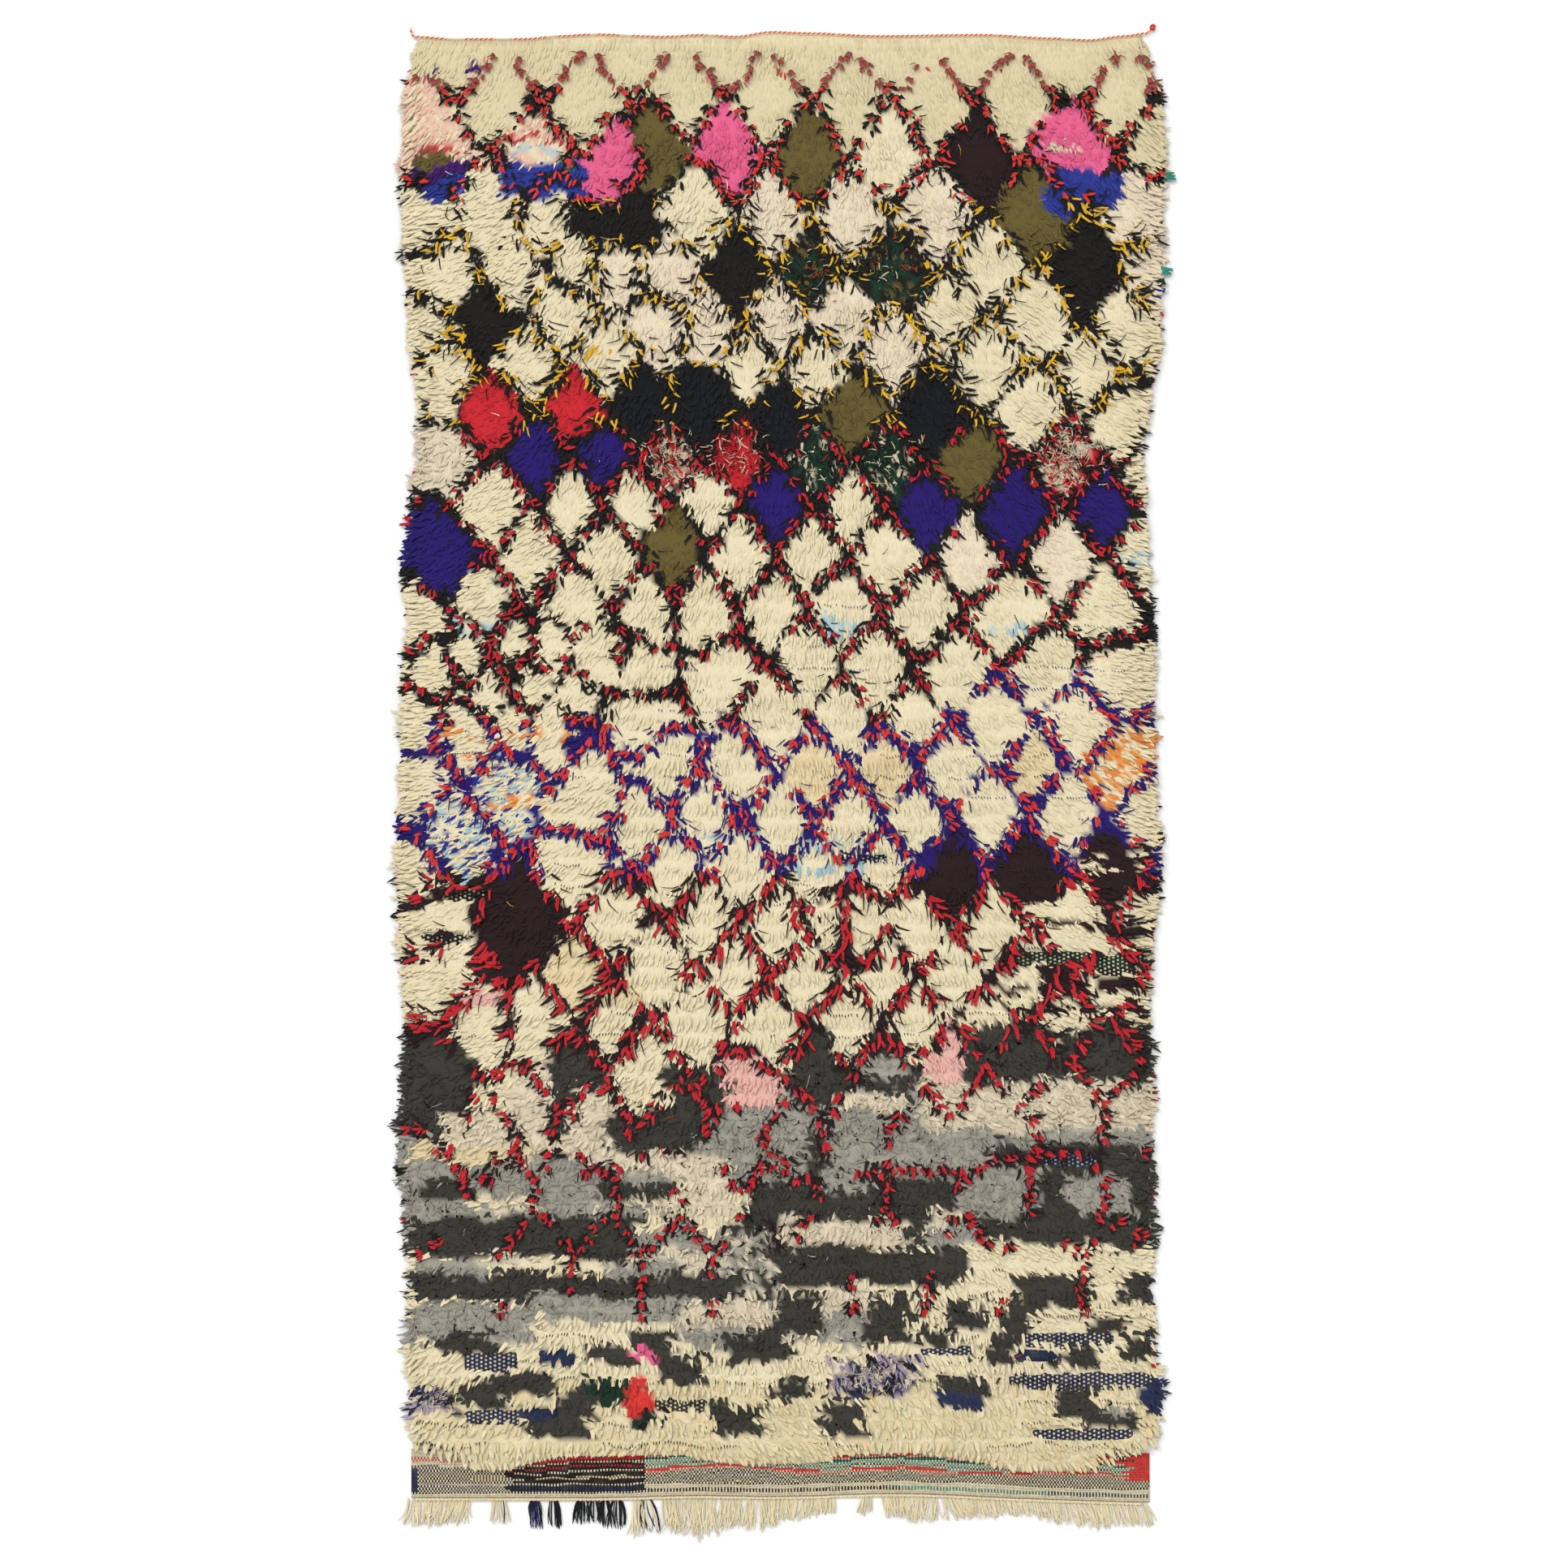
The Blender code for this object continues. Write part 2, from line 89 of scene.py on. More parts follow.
# One letter for each yarn, as on a weaver's chart
YARNS = {
    "c": Yarn("cream", "cream_yarn", "f2e5c2", "e2d2a6", 0.0050, 0.10, 0.2),
    "C": Yarn("aged_cream", "cream_yarn", "e6d9b2", "d6c699", 0.0050, 0.06, 0.1),
    "t": Yarn("tan", "beige_yarn", "efdcb0", "dcc694", 0.0050, 0.08, 0.2),
    "b": Yarn("beige", "beige_yarn", "f2e2c8", "e0caa8", 0.0050, 0.22, 0.6),
    "w": Yarn("oatmeal", "beige_yarn", "e3d6ba", "cabb9a", 0.0044, 0.65, 0.7),
    "s": Yarn("salmon", "pink_yarn", "efc9b2", "e2b096", 0.0048, 0.10, 0.2),
    "P": Yarn("pale_pink", "pink_yarn", "f3c0b4", "e6a397", 0.0050, 0.25, 0.6),
    "p": Yarn("hot_pink", "pink_yarn", "f06a97", "d64c7c", 0.0050, 0.22, 0.7),
    "r": Yarn("crimson", "red_yarn", "d42a34", "a8141f", 0.0056, 0.22, 0.5),
    "R": Yarn("scarlet", "red_yarn", "e5413a", "c02624", 0.0058, 0.24, 0.4),
    "f": Yarn("faded_red", "red_yarn", "cc4a48", "ad4038", 0.0040, 0.12, 0.2),
    "q": Yarn("faded_brown", "olive_yarn", "96594b", "79483d", 0.0042, 0.12, 0.2),
    "y": Yarn("yellow", "yellow_yarn", "f0c22e", "d49d1a", 0.0042, 0.50, 0.3),
    "O": Yarn("orange", "orange_yarn", "ee9a4c", "db7a2c", 0.0048, 0.12, 0.3),
    "o": Yarn("olive", "olive_yarn", "6c5e31", "554922", 0.0050, 0.20, 0.8),
    "D": Yarn("dark_green", "green_yarn", "173a2a", "0b2017", 0.0050, 0.28, 0.6),
    "T": Yarn("teal", "teal_yarn", "3c9c86", "237564", 0.0050, 0.15, 0.3),
    "u": Yarn("royal_blue", "blue_yarn", "303e9c", "202974", 0.0050, 0.12, 0.3),
    "v": Yarn("violet", "violet_yarn", "2a1872", "1a0f55", 0.0056, 0.20, 0.6),
    "U": Yarn("purple", "violet_yarn", "45186c", "2c0e4a", 0.0050, 0.12, 0.3),
    "N": Yarn("navy", "blue_yarn", "2b3556", "1b233c", 0.0050, 0.14, 0.3),
    "n": Yarn("midnight", "black_yarn", "12151b", "090b0f", 0.0050, 0.22, 0.8),
    "k": Yarn("black", "black_yarn", "1b1917", "0e0d0c", 0.0056, 0.28, 0.6),
    "K": Yarn("brown_black", "black_yarn", "2c1a1c", "170c0e", 0.0056, 0.28, 0.6),
    "G": Yarn("charcoal", "charcoal_yarn", "413f38", "2c2a25", 0.0046, 0.55, 0.8),
    "g": Yarn("light_grey", "grey_yarn", "aaa699", "87847a", 0.0044, 0.75, 0.9),
    "j": Yarn("pale_blue", "blue_yarn", "b9d3d6", "8fb4c6", 0.0048, 0.12, 0.3),
    "l": Yarn("lilac", "violet_yarn", "b9a9b8", "8d7f98", 0.0048, 0.30, 0.6),
}

# What each filling of the chart is knotted from: a strand takes one of its letters by chance
FILLINGS = {
    "m": "rrwwkw",
    "d": "DDDDkw",
    "e": "DDDkko",
    "x": "gwgG",
    "z": "lNwlk",
    "b": "bbbbc",
    "w": "wwwb",
    "s": "ssc",
    "O": "OOcc",
    "W": "cCCt",
    "h": "ffffqC",
    "Y": "yyc",
    "j": "jjc",
    "B": "cccju",
}


class Row(NamedTuple):
    down: float
    lozenges: str


# The lattice of lozenges, row by row: across, filling, and @down where one sits off its row
LATTICE = [
    Row(0.5, "-55C -40.5C -25.5C -10C 4.5C 18.5C 32C 49C@3.5 67C"),
    Row(12, "-47.5C -33.5C@12.5 -17C@10.5 -3C 12C@12.5 25.5C 39.5C 58C"),
    Row(18.5, "-59s@19.5 -43s -29p@20.5 -21.5o@17.5 -9p 4.5o@20 17.5c 33K@20 48.5p@17.5 62C@17.5"),
    Row(30, "-60c@31 -49.5c -40c@32 -26k@33 -14c@29.5 -2b@31.5 11b@31 26b@31 42o@30.5 61b@29"),
    Row(40, "-58c -46c -36c@38 -27b@38 -20b@41 -8k@39.5 4e@39 19e@39.5 35c@39 51k@40.5 63b"),
    Row(49, "-61c@50 -50k@48.5 -37c@47 -21b@48 -12b@50 -1b 10b@47.5 19b@52 28c@48 43c@47 57c"),
    Row(55.5, "-58c@58 -43c -30c@54 -6c 5c@57 34c@55 52c@57"),
    Row(64, "-49r@63 -35r@63.5 -24n@63.5 -13n@62.5 0n 11o@64.5 25n@65.5 42c@63.5 56c@66"),
    Row(72, "-58w -41v -31v@70.5 -20m@73 -8r@72.5 5d@73 18d@73 31o 48m@71.5 61c@75"),
    Row(79, "-48.5c -36c -25c -12c -1v 11.5c@78.5 24v@81 39v@81 55v@80"),
    Row(88, "-59v@87.5 -43c -29c -18.5o@86.5 -7c 4.5c 18c 31b 47b 61c"),
    Row(97, "-62c@100 -50c -36c -23c -13c@98 -2c 10c 24c 39c@98 55c"),
    Row(104, "-53c@105 -46c -39c -32c@105"),
    Row(107, "-60c -24c@108 -11c@108 4.5c@106 15c@108 28c@108 43c 56c@108"),
    Row(110, "-50c@111 -43c -36c@111"),
    Row(116, "-62c@117 -53c@118 -46c -39c@117 -24c@115 -2c 10c@115 22c 36c@117 50c@118"),
    Row(124, "-62c@126 -47B@127 -33c@130 -20c -8c 6t@125 18t 28c 43t 56O"),
    Row(133, "-56B@136 -24c@134 -13c@132 0c@134 11c 22c 35c@131 47c@131 61c"),
    Row(141, "-62c@143 -34c -19c -7c 5c@142 17c 28K@143 41K 56K@140.5"),
    Row(150, "-60c -44K -29c -13c@149 -1c@151 7c 14c 22c 35c@152 50c@152 62c"),
    Row(159, "-57c@160 -34t@160 -22c@158 -8c@158 4c 17c 29c@160 41c@160 54c@161"),
    Row(168, "-51c -42c -29c@167 -15c@167 -3c 11c@167 22c 35c@167 48c@166 61c"),
    Row(177, "-57G@179 -43w@182 -36G -24c@175 -5P@179 6G@176 18G@176 28P@174 40G@173 55G@173"),
    Row(187, "-50c -33w@184 -18G -8g 2g 12g 24g 35w@184 48w@182 60w@182"),
    Row(198, "-60g -48c -35g -22c -12c 0G 12G 24G 36g 48g 60g"),
    Row(208, "-54G -42G -30G -18g -6G 6c 18c 30c 44G 58G"),
]


class Band(NamedTuple):
    top: float
    bottom: float
    runs: str


# Knotted over the lattice: stripes, dashes and patches, from:to and filling
BANDS = [
    Band(202.5, 213, "-30:1x"),
    Band(213, 222, "-18:8x"),
    Band(16.9, 17.7, "-47:-37f"),
    Band(18.8, 19.6, "-47:-38j -61:-52f"),
    Band(20, 21.6, "-64:-56o"),
    Band(21.6, 23.6, "-63:-52U"),
    Band(23.6, 27.5, "-61:-53u"),
    Band(21.5, 27.3, "-48:-33.4u"),
    Band(21.3, 23, "-38:-35T"),
    Band(20.5, 25.5, "-33:-26p"),
    Band(22.3, 29.5, "45:57u"),
    Band(18.2, 19, "45:50w"),
    Band(53.5, 54.6, "-34:-28Y"),
    Band(88, 90, "57:64j"),
    Band(99, 100.5, "34:42j -55:-48j"),
    Band(98, 101, "7:13j"),
    Band(117.6, 118.8, "-58:-34O"),
    Band(121.5, 122.6, "-58:-51O"),
    Band(123.5, 124.5, "-57:-50O -46:-41j"),
    Band(129.5, 131, "-50:-40O"),
    Band(122, 126.5, "50:62O"),
    Band(136, 137.2, "-16:-4j 2:14j"),
    Band(140.2, 141.4, "0:14j"),
    Band(137, 145.5, "36.5:46.5K 51:64K"),
    Band(137.8, 139.2, "53:55c 59:64c"),
    Band(140.2, 141.2, "48:57c 60:64c"),
    Band(146.8, 147.8, "50:56r"),
    Band(147.8, 150.4, "56:63c 40:52c"),
    Band(151.6, 153, "40:50c"),
    Band(150.5, 151.4, "41:63K"),
    Band(151.4, 152.6, "54:64K"),
    Band(160.6, 161.7, "37:51K"),
    Band(164, 165.3, "45:62K"),
    Band(5.3, 6.1, "-61:-58U -53:-51U"),
    Band(153, 155.4, "36:61c"),
    Band(157.8, 162, "43.5:49K 52:60K"),
    Band(157.8, 159.2, "49:60c"),
    Band(162, 164, "-55:-45P"),
    Band(160.5, 164.5, "-35:-24t"),
    Band(172, 187, "-65:-54G"),
    Band(170, 182, "-51:-45c"),
    Band(173, 185.5, "-41:-31G"),
    Band(178, 188.5, "-46:-39.5w"),
    Band(178.5, 189.5, "-35:-28.5w"),
    Band(172, 181.5, "-28.5:-20c"),
    Band(183, 189.6, "-30:-22G"),
    Band(175, 191.5, "-20:-8G"),
    Band(189, 193.7, "-21.5:-14.5K"),
    Band(175, 184, "-9:-1P"),
    Band(173, 181.5, "2.5:7.5G"),
    Band(173, 176.5, "12:20g"),
    Band(176.5, 180.5, "13:21G"),
    Band(168, 177.5, "30.5:45G 46:64G 26:30P"),
    Band(177.5, 185.7, "23:63w"),
    Band(179.4, 182, "9:20w"),
    Band(183, 188, "-59:-45w"),
    Band(188, 191.3, "-64:-42t"),
    Band(189, 192.4, "-37:-19.5w"),
    Band(182, 196, "-13:5g 7:15g"),
    Band(185, 194, "4.5:7.3G"),
    Band(183.5, 189.6, "16:26g"),
    Band(186, 193.5, "28:35.5g"),
    Band(190, 193.7, "17:28g"),
    Band(190.7, 196.8, "-63.5:-31g"),
    Band(192.4, 195, "-29:-19.5g"),
    Band(190, 200.6, "-20:-8w"),
    Band(185.9, 188.4, "36:64.5g"),
    Band(188.2, 193.8, "35.5:64.5G"),
    Band(191.7, 201.3, "35.5:44.5g"),
    Band(193.6, 200.6, "49:60g"),
    Band(193.7, 200.6, "44.5:49G 60:65G"),
    Band(194.5, 197.2, "-32:-19.5G -63:-52G"),
    Band(195.5, 200.6, "-3:31.5G"),
    Band(197.5, 200.2, "-34:-19.5w -52.5:-44w"),
    Band(198.8, 200.7, "-63:-24g"),
    Band(200.6, 205.6, "39:63.5G -3:1K"),
    Band(200.6, 205.8, "1:21w"),
    Band(199.6, 202.8, "24:32w"),
    Band(202.6, 205.6, "24:32g"),
    Band(201.3, 206, "32:39G"),
    Band(200.4, 207.4, "-64:-24.5G"),
    Band(202.6, 206.6, "-24.5:-8g"),
    Band(205.7, 211.6, "-3:31G"),
    Band(206.4, 209.5, "-24:-8.5w"),
    Band(205, 221, "31.5:38.5c"),
    Band(206, 210, "39:63c"),
    Band(206.9, 209.5, "-51:-44w"),
    Band(207.7, 211.0, "-63:-52g -28.5:-17.5g"),
    Band(210.2, 214.8, "-64:-7G"),
    Band(209.5, 215.2, "38.5:53G 57:64G"),
    Band(213, 221, "-2.3:7.5G"),
    Band(212.3, 217, "7.5:14w"),
    Band(217, 222, "7.5:14g"),
    Band(213.6, 222.5, "14:22.5G"),
    Band(214.3, 220, "28:33.3G"),
    Band(215.2, 220.5, "37.5:42.2G"),
    Band(217, 220.5, "52:58.6G"),
    Band(214, 219, "-15.5:-2.4w"),
    Band(219, 223.5, "-16:-5g"),
    Band(215.2, 222, "-63.5:-42g"),
    Band(214.3, 218.6, "-41.5:-17.5g"),
    Band(220.2, 224.3, "-58:-49G -25.5:-19G"),
    Band(220.5, 225, "-9:0G 60:65G"),
    Band(219.8, 224, "23.5:28G"),
    Band(220.2, 225, "34:40G"),
    Band(222.5, 226, "-35:-25G"),
    Band(222.3, 225.8, "46:55.2G"),
    Band(223.2, 225.8, "-25:-21.7p -41.5:-37N"),
    Band(224.2, 228.4, "-21.7:-12.7G"),
    Band(224.3, 230.5, "8.6:23z"),
    Band(227.2, 231.2, "-50:-40G -2.3:6G 28.2:36G"),
    Band(228.6, 232.4, "-56:-47G"),
    Band(229.5, 234, "-65:-55.5z"),
    Band(229.8, 231.6, "12:16.5N"),
    Band(230.6, 233, "27:34N"),
    Band(229.5, 234, "-38:-32.6G"),
    Band(229, 232.3, "-32:-26.5D"),
    Band(229, 234.8, "-26.7:-23.7R"),
    Band(233.6, 236.2, "-25.5:-19.5e"),
    Band(233.2, 237.8, "-43.5:-33G"),
    Band(231.5, 236.7, "-11.7:-4.5G"),
    Band(232.2, 237.4, "7.3:14G"),
    Band(229.8, 234.8, "45:52.5G"),
    Band(233.5, 236.8, "51:59G"),
    Band(233.3, 235.6, "54:57g"),
    Band(227.5, 234, "62.5:66N"),
    Band(241, 243, "50:59t"),
    Band(242, 246, "58.5:63.5R"),
]


class Zone(NamedTuple):
    """A stretch of the lattice: the colours of its bundles, and how they are spaced and shaped."""

    start: float
    end: float
    left: float
    right: float
    core: str
    flank: str
    spacing: float
    length: float
    kept: float
    cored: float
    reach: float
    solid: float
    bold: float


# The strands that draw the lattice: an inner colour laid between two flanks
OUTLINES = [
    Zone(3.0, 9.0, -70, 70, "f", "q", 0.75, 1.7, 0.85, 0.95, 0.12, 0.20, 1.1),
    Zone(9.0, 21, -70, 70, "R", "k", 1.25, 2.8, 1.0, 0.95, 0.60, 0.36, 1.0),
    Zone(21, 28, -70, 70, "R", "k", 1.30, 3.2, 1.0, 0.75, 0.80, 0.56, 1.1),
    Zone(28, 58, -70, 70, "y", "k", 1.40, 4.2, 0.90, 0.80, 1.0, 0.40, 1.35),
    Zone(58, 66, -70, 70, "y", "k", 1.50, 4.2, 1.0, 0.7, 1.0, 0.70, 1.30),
    Zone(66, 107, -70, 70, "r", "k", 1.35, 3.2, 1.0, 0.90, 0.85, 0.82, 0.95),
    Zone(107, 116, 26, 70, "R", "v", 1.45, 3.6, 1.0, 0.9, 0.8, 0.6, 0.9),
    Zone(107, 116, -70, 26, "r", "k", 1.45, 3.6, 1.0, 0.85, 0.85, 0.70, 0.85),
    Zone(116, 142, -70, 70, "R", "v", 1.45, 3.8, 1.0, 0.9, 0.80, 0.72, 1.1),
    Zone(142, 172, -70, 70, "r", "K", 1.50, 5.0, 1.0, 0.9, 0.80, 0.60, 1.25),
    Zone(172, 195, -70, 70, "r", "K", 1.50, 3.4, 1.0, 0.95, 0.75, 0.35, 1.2),
    Zone(195, 217, -70, 70, "r", "k", 1.40, 2.6, 1.0, 1.0, 0.6, 0.20, 1.15),
]

# Where the pile ends above the flat-woven end: across and down
PILE_ENDS = [
    (-64, 243.4), (-47, 243.4), (-45, 242.8), (-38, 241.0), (-17, 240.8), (-14, 241.6), (-8, 242.4),
    (6, 242.4), (9, 240.8), (22, 240.4), (32, 241.8), (37, 243.0), (40, 243.6), (58, 243.6), (63, 243.0),
]

FADED = "f"
WISPY = "y"

LOZENGE_HALF_WIDTH = 6.8
LOZENGE_HALF_HEIGHT = 9.2

LOZENGE_MARK = re.compile(r"(-?[\d.]+)(\w)(@([\d.]+))?")
BAND_RUN = re.compile(r"(-?[\d.]+):(-?[\d.]+)(\w)")


def linear(code):
    """A six-digit colour code as the light that it stands for."""
    parts = [int(code[k:k + 2], 16) / 255 for k in (0, 2, 4)]
    return tuple(p / 12.92 if p <= 0.04045 else ((p + 0.055) / 1.055) ** 2.4 for p in parts)


def read(table, place):
    """The value at a place, from a table of places and values, straight between its rows."""
    places, values = zip(*table)
    return np.interp(place, places, values)


FIELD_CELLS = 256
FIELD_SHIFT = 64


class Field:
    """Smooth random hills over the cloth, from -1 to 1, one for each spacing."""

    def __init__(self, spacing, seed):
        self.spacing = spacing
        self.values = np.random.default_rng(seed).uniform(-1, 1, (FIELD_CELLS, FIELD_CELLS))

    def __call__(self, x, y):
        u = np.asarray(x) / self.spacing + FIELD_SHIFT
        v = np.asarray(y) / self.spacing + FIELD_SHIFT
        i, j = np.floor(u).astype(int), np.floor(v).astype(int)
        a, b = u - i, v - j
        a, b = a * a * (3 - 2 * a), b * b * (3 - 2 * b)
        low = self.at(i, j) * (1 - a) + self.at(i + 1, j) * a
        high = self.at(i, j + 1) * (1 - a) + self.at(i + 1, j + 1) * a
        return low * (1 - b) + high * b

    def at(self, i, j):
        """The height at a corner of the grid, which repeats."""
        return self.values[i % FIELD_CELLS, j % FIELD_CELLS]


# How the outline is read from the solids: how high a point of the rim is, how near the floor one
# on the floor, how far the heading dips and the foot rises, and the steps along the sides
RIM_ABOVE = 0.008
ON_FLOOR = 0.0001
RIM_FROM_FOOT = 0.02
HEADING_DIP = 0.0175
FOOT_RISE = 0.0165
SIDE_STEP = 0.032
SIDE_REACH = 0.022
TIP_STEP = 0.02
TIPS_WITHIN = 0.62


class Edges:
    """The outline of the cloth, read from the frame's solids."""

    def __init__(self):
        field = self.corners("rug_field")
        rim = field[field[:, 2] > RIM_ABOVE]
        rim = rim[rim[:, 1] > rim[:, 1].min() + RIM_FROM_FOOT]
        self.steps = np.arange(rim[:, 1].min(), rim[:, 1].max(), SIDE_STEP)
        near = [rim[np.abs(rim[:, 1] - y) < SIDE_REACH] for y in self.steps]
        self.lefts = np.array([part[:, 0].min() for part in near])
        self.rights = np.array([part[:, 0].max() for part in near])
        floor = field[field[:, 2] < ON_FLOOR]
        self.tops = self.line(floor[floor[:, 1] > floor[:, 1].max() - HEADING_DIP])
        self.feet = self.line(floor[floor[:, 1] < floor[:, 1].min() + FOOT_RISE])
        fringe = self.corners("warp_fringe")
        low = fringe[fringe[:, 2] < ON_FLOOR]
        places = np.arange(-TIPS_WITHIN, TIPS_WITHIN, TIP_STEP)
        tips = [low[np.abs(low[:, 0] - x) < TIP_STEP][:, 1] for x in places]
        self.tips = np.array([(x, tip.min()) for x, tip in zip(places, tips) if len(tip)]).T

    def corners(self, node):
        """The corner points of one of the solids."""
        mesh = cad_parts[node].data
        spots = np.zeros(len(mesh.vertices) * 3, np.float32)
        mesh.vertices.foreach_get("co", spots)
        return spots.reshape(-1, 3)

    def line(self, spots):
        """The points of an edge in order across the rug."""
        order = np.argsort(spots[:, 0])
        return spots[order, 0], spots[order, 1]

    def left(self, y):
        """How far across the left side is."""
        return np.interp(y, self.steps, self.lefts)

    def right(self, y):
        """How far across the right side is."""
        return np.interp(y, self.steps, self.rights)

    def top(self, x):
        """How far along the heading is."""
        return np.interp(x, *self.tops)

    def foot(self, x):
        """How far along the flat-woven end's foot is."""
        return np.interp(x, *self.feet)

    def fringe_tip(self, x):
        """How far along the longest locks of the fringe reach."""
        return np.interp(x, *self.tips)


edges = Edges()

# The unevenness of the rug: the spacing of each kind, and its seed
hills = Field(0.055, 11)
drift = Field(0.030, 12)
rolling = Field(0.26, 13)
clumps = Field(0.045, 22)
ragged_across = Field(0.014, 14)
ragged_down = Field(0.014, 15)
combing = Field(0.09, 16)
waves_across = Field(0.05, 17)
waves_down = Field(0.06, 18)
gates = Field(0.09, 21)

# How the pile is combed outwards: by place across, and by metres down
LEAN_ACROSS = 0.64
LEAN_POWER = 1.25
LEAN_MOST = math.radians(80)
LEAN_DOWN = [(0.0, 0.28), (0.12, 0.5), (0.35, 1.0), (2.1, 1.0), (2.3, 0.6), (2.42, 0.1)]


def lean(x, down):
    """How far the pile is combed outwards from straight down, as an angle."""
    share = np.clip(np.abs(x) / LEAN_ACROSS, 0, 1) ** LEAN_POWER
    return np.sign(x) * LEAN_MOST * share * read(LEAN_DOWN, down)


def heading_to(angle):
    """The direction on the floor for an angle out from straight down the rug."""
    return np.stack([np.sin(angle), -np.cos(angle)], axis=-1)


def lozenges():
    """Every lozenge of the lattice as across, down and filling."""
    places, fillings = [], []
    for row in LATTICE:
        for mark in row.lozenges.split():
            across, filling, _, down = LOZENGE_MARK.match(mark).groups()
            places.append((float(across), float(down or row.down)))
            fillings.append(filling)
    return np.array(places), fillings


LOZENGE_PLACES, LOZENGE_FILLINGS = lozenges()

# How ragged and how mixed the borders of the fillings are, by centimetres down
RAGGED = [(165, 0.8), (185, 1.7)]
MIXED = [(165, 0.0), (185, 0.55)]
RAGGED_LENGTHWISE = 0.8
WAVED_LENGTHWISE = 0.9
CLUMPING = 0.55
LATTICE_END = 205
AGED_FROM = 228


def nearest_two(across, down):
    """The nearest and next lozenge to each place, and how much further the next one is."""
    dx = np.abs(across[:, None] - LOZENGE_PLACES[None, :, 0]) / LOZENGE_HALF_WIDTH
    dy = np.abs(down[:, None] - LOZENGE_PLACES[None, :, 1]) / LOZENGE_HALF_HEIGHT
    distance = dx + dy
    order = np.argpartition(distance, 1, axis=1)[:, :2]
    pair = np.take_along_axis(distance, order, axis=1)
    swap = pair[:, 0] > pair[:, 1]
    order[swap] = order[swap][:, ::-1]
    return order[:, 0], order[:, 1], np.abs(pair[:, 1] - pair[:, 0])


def chart_letters(across, down):
    """The filling at each place of the chart, with ragged borders."""
    across = across + read(MIXED, down) * chance.normal(0, 1, across.shape)
    x, y = across * CM, down * CM
    u = across + read(RAGGED, down) * (ragged_across(x, y) + waves_across(x, y))
    v = down + RAGGED_LENGTHWISE * ragged_down(x, y) + WAVED_LENGTHWISE * waves_down(x, y)
    nearest, _, margin = nearest_two(u, v)
    letters = np.array(LOZENGE_FILLINGS)[nearest]
    for zone in reversed(OUTLINES):
        inside = (v > zone.start) & (v < zone.end) & (u > zone.left)
        solid = zone.solid * (1.0 + CLUMPING * clumps(x, y))
        under = "h" if zone.core == FADED else zone.flank
        letters[inside & (margin * LOZENGE_HALF_WIDTH / 2 < solid)] = under
    letters[v > LATTICE_END] = "c"
    letters[v > AGED_FROM] = "W"
    for band in BANDS:
        inside = (v > band.top) & (v < band.bottom)
        for start, end, filling in BAND_RUN.findall(band.runs):
            letters[inside & (u > float(start)) & (u < float(end))] = filling
    return letters


def yarn_letters(letters):
    """Pick each strand's own yarn from its filling."""
    picked = letters.copy()
    for filling, yarns in FILLINGS.items():
        places = np.flatnonzero(letters == filling)
        picked[places] = chance.choice(list(yarns), len(places))
    return picked


DROOP = 0.12
ROUND_BODY = 0.42
FLAT_BODY = 0.20


class Strands:
    """Loose ends of yarn gathered as arrays, to be made into meshes of one yarn each."""

    def __init__(self):
        self.parts = []

    def add(self, letters, root, angle, length, width, lift, bend, base=GROUND_TOP, droop=DROOP,
            body=ROUND_BODY):
        """One strand for each root. The other values are one for each strand or one for all."""
        count = len(root)
        values = (angle, length, width, lift, bend, base, droop, body)
        columns = [np.broadcast_to(np.asarray(value, float), (count,)).copy() for value in values]
        self.parts.append((np.broadcast_to(letters, (count,)).copy(), root, *columns))

    def columns(self):
        """Letters, roots, and the other values, each for all strands."""
        return [np.concatenate(column) for column in zip(*self.parts)]


RISE_POWER = 2.3
DROOP_POWER = 4

# Strands are three-sided. By their number of rings: where these lie along them, and their width
SIDES = 3
RING_PLACES = {2: (0.30, 0.78), 3: (0.18, 0.52, 0.87), 4: (0.16, 0.40, 0.66, 0.90)}
RING_WIDTHS = {2: (1.0, 0.66), 3: (0.88, 1.0, 0.84), 4: (0.85, 1.0, 0.92, 0.70)}
LEAST_BEND = 0.01
ROUNDING = 0.42
TIP_TURN = 0.25
FIBRE_SHIFT = 9


def rise(along, droop):
    """Height of a strand along its length: up from the knot, over, and down a little."""
    return 1 - (1 - along) ** RISE_POWER - droop * along ** DROOP_POWER


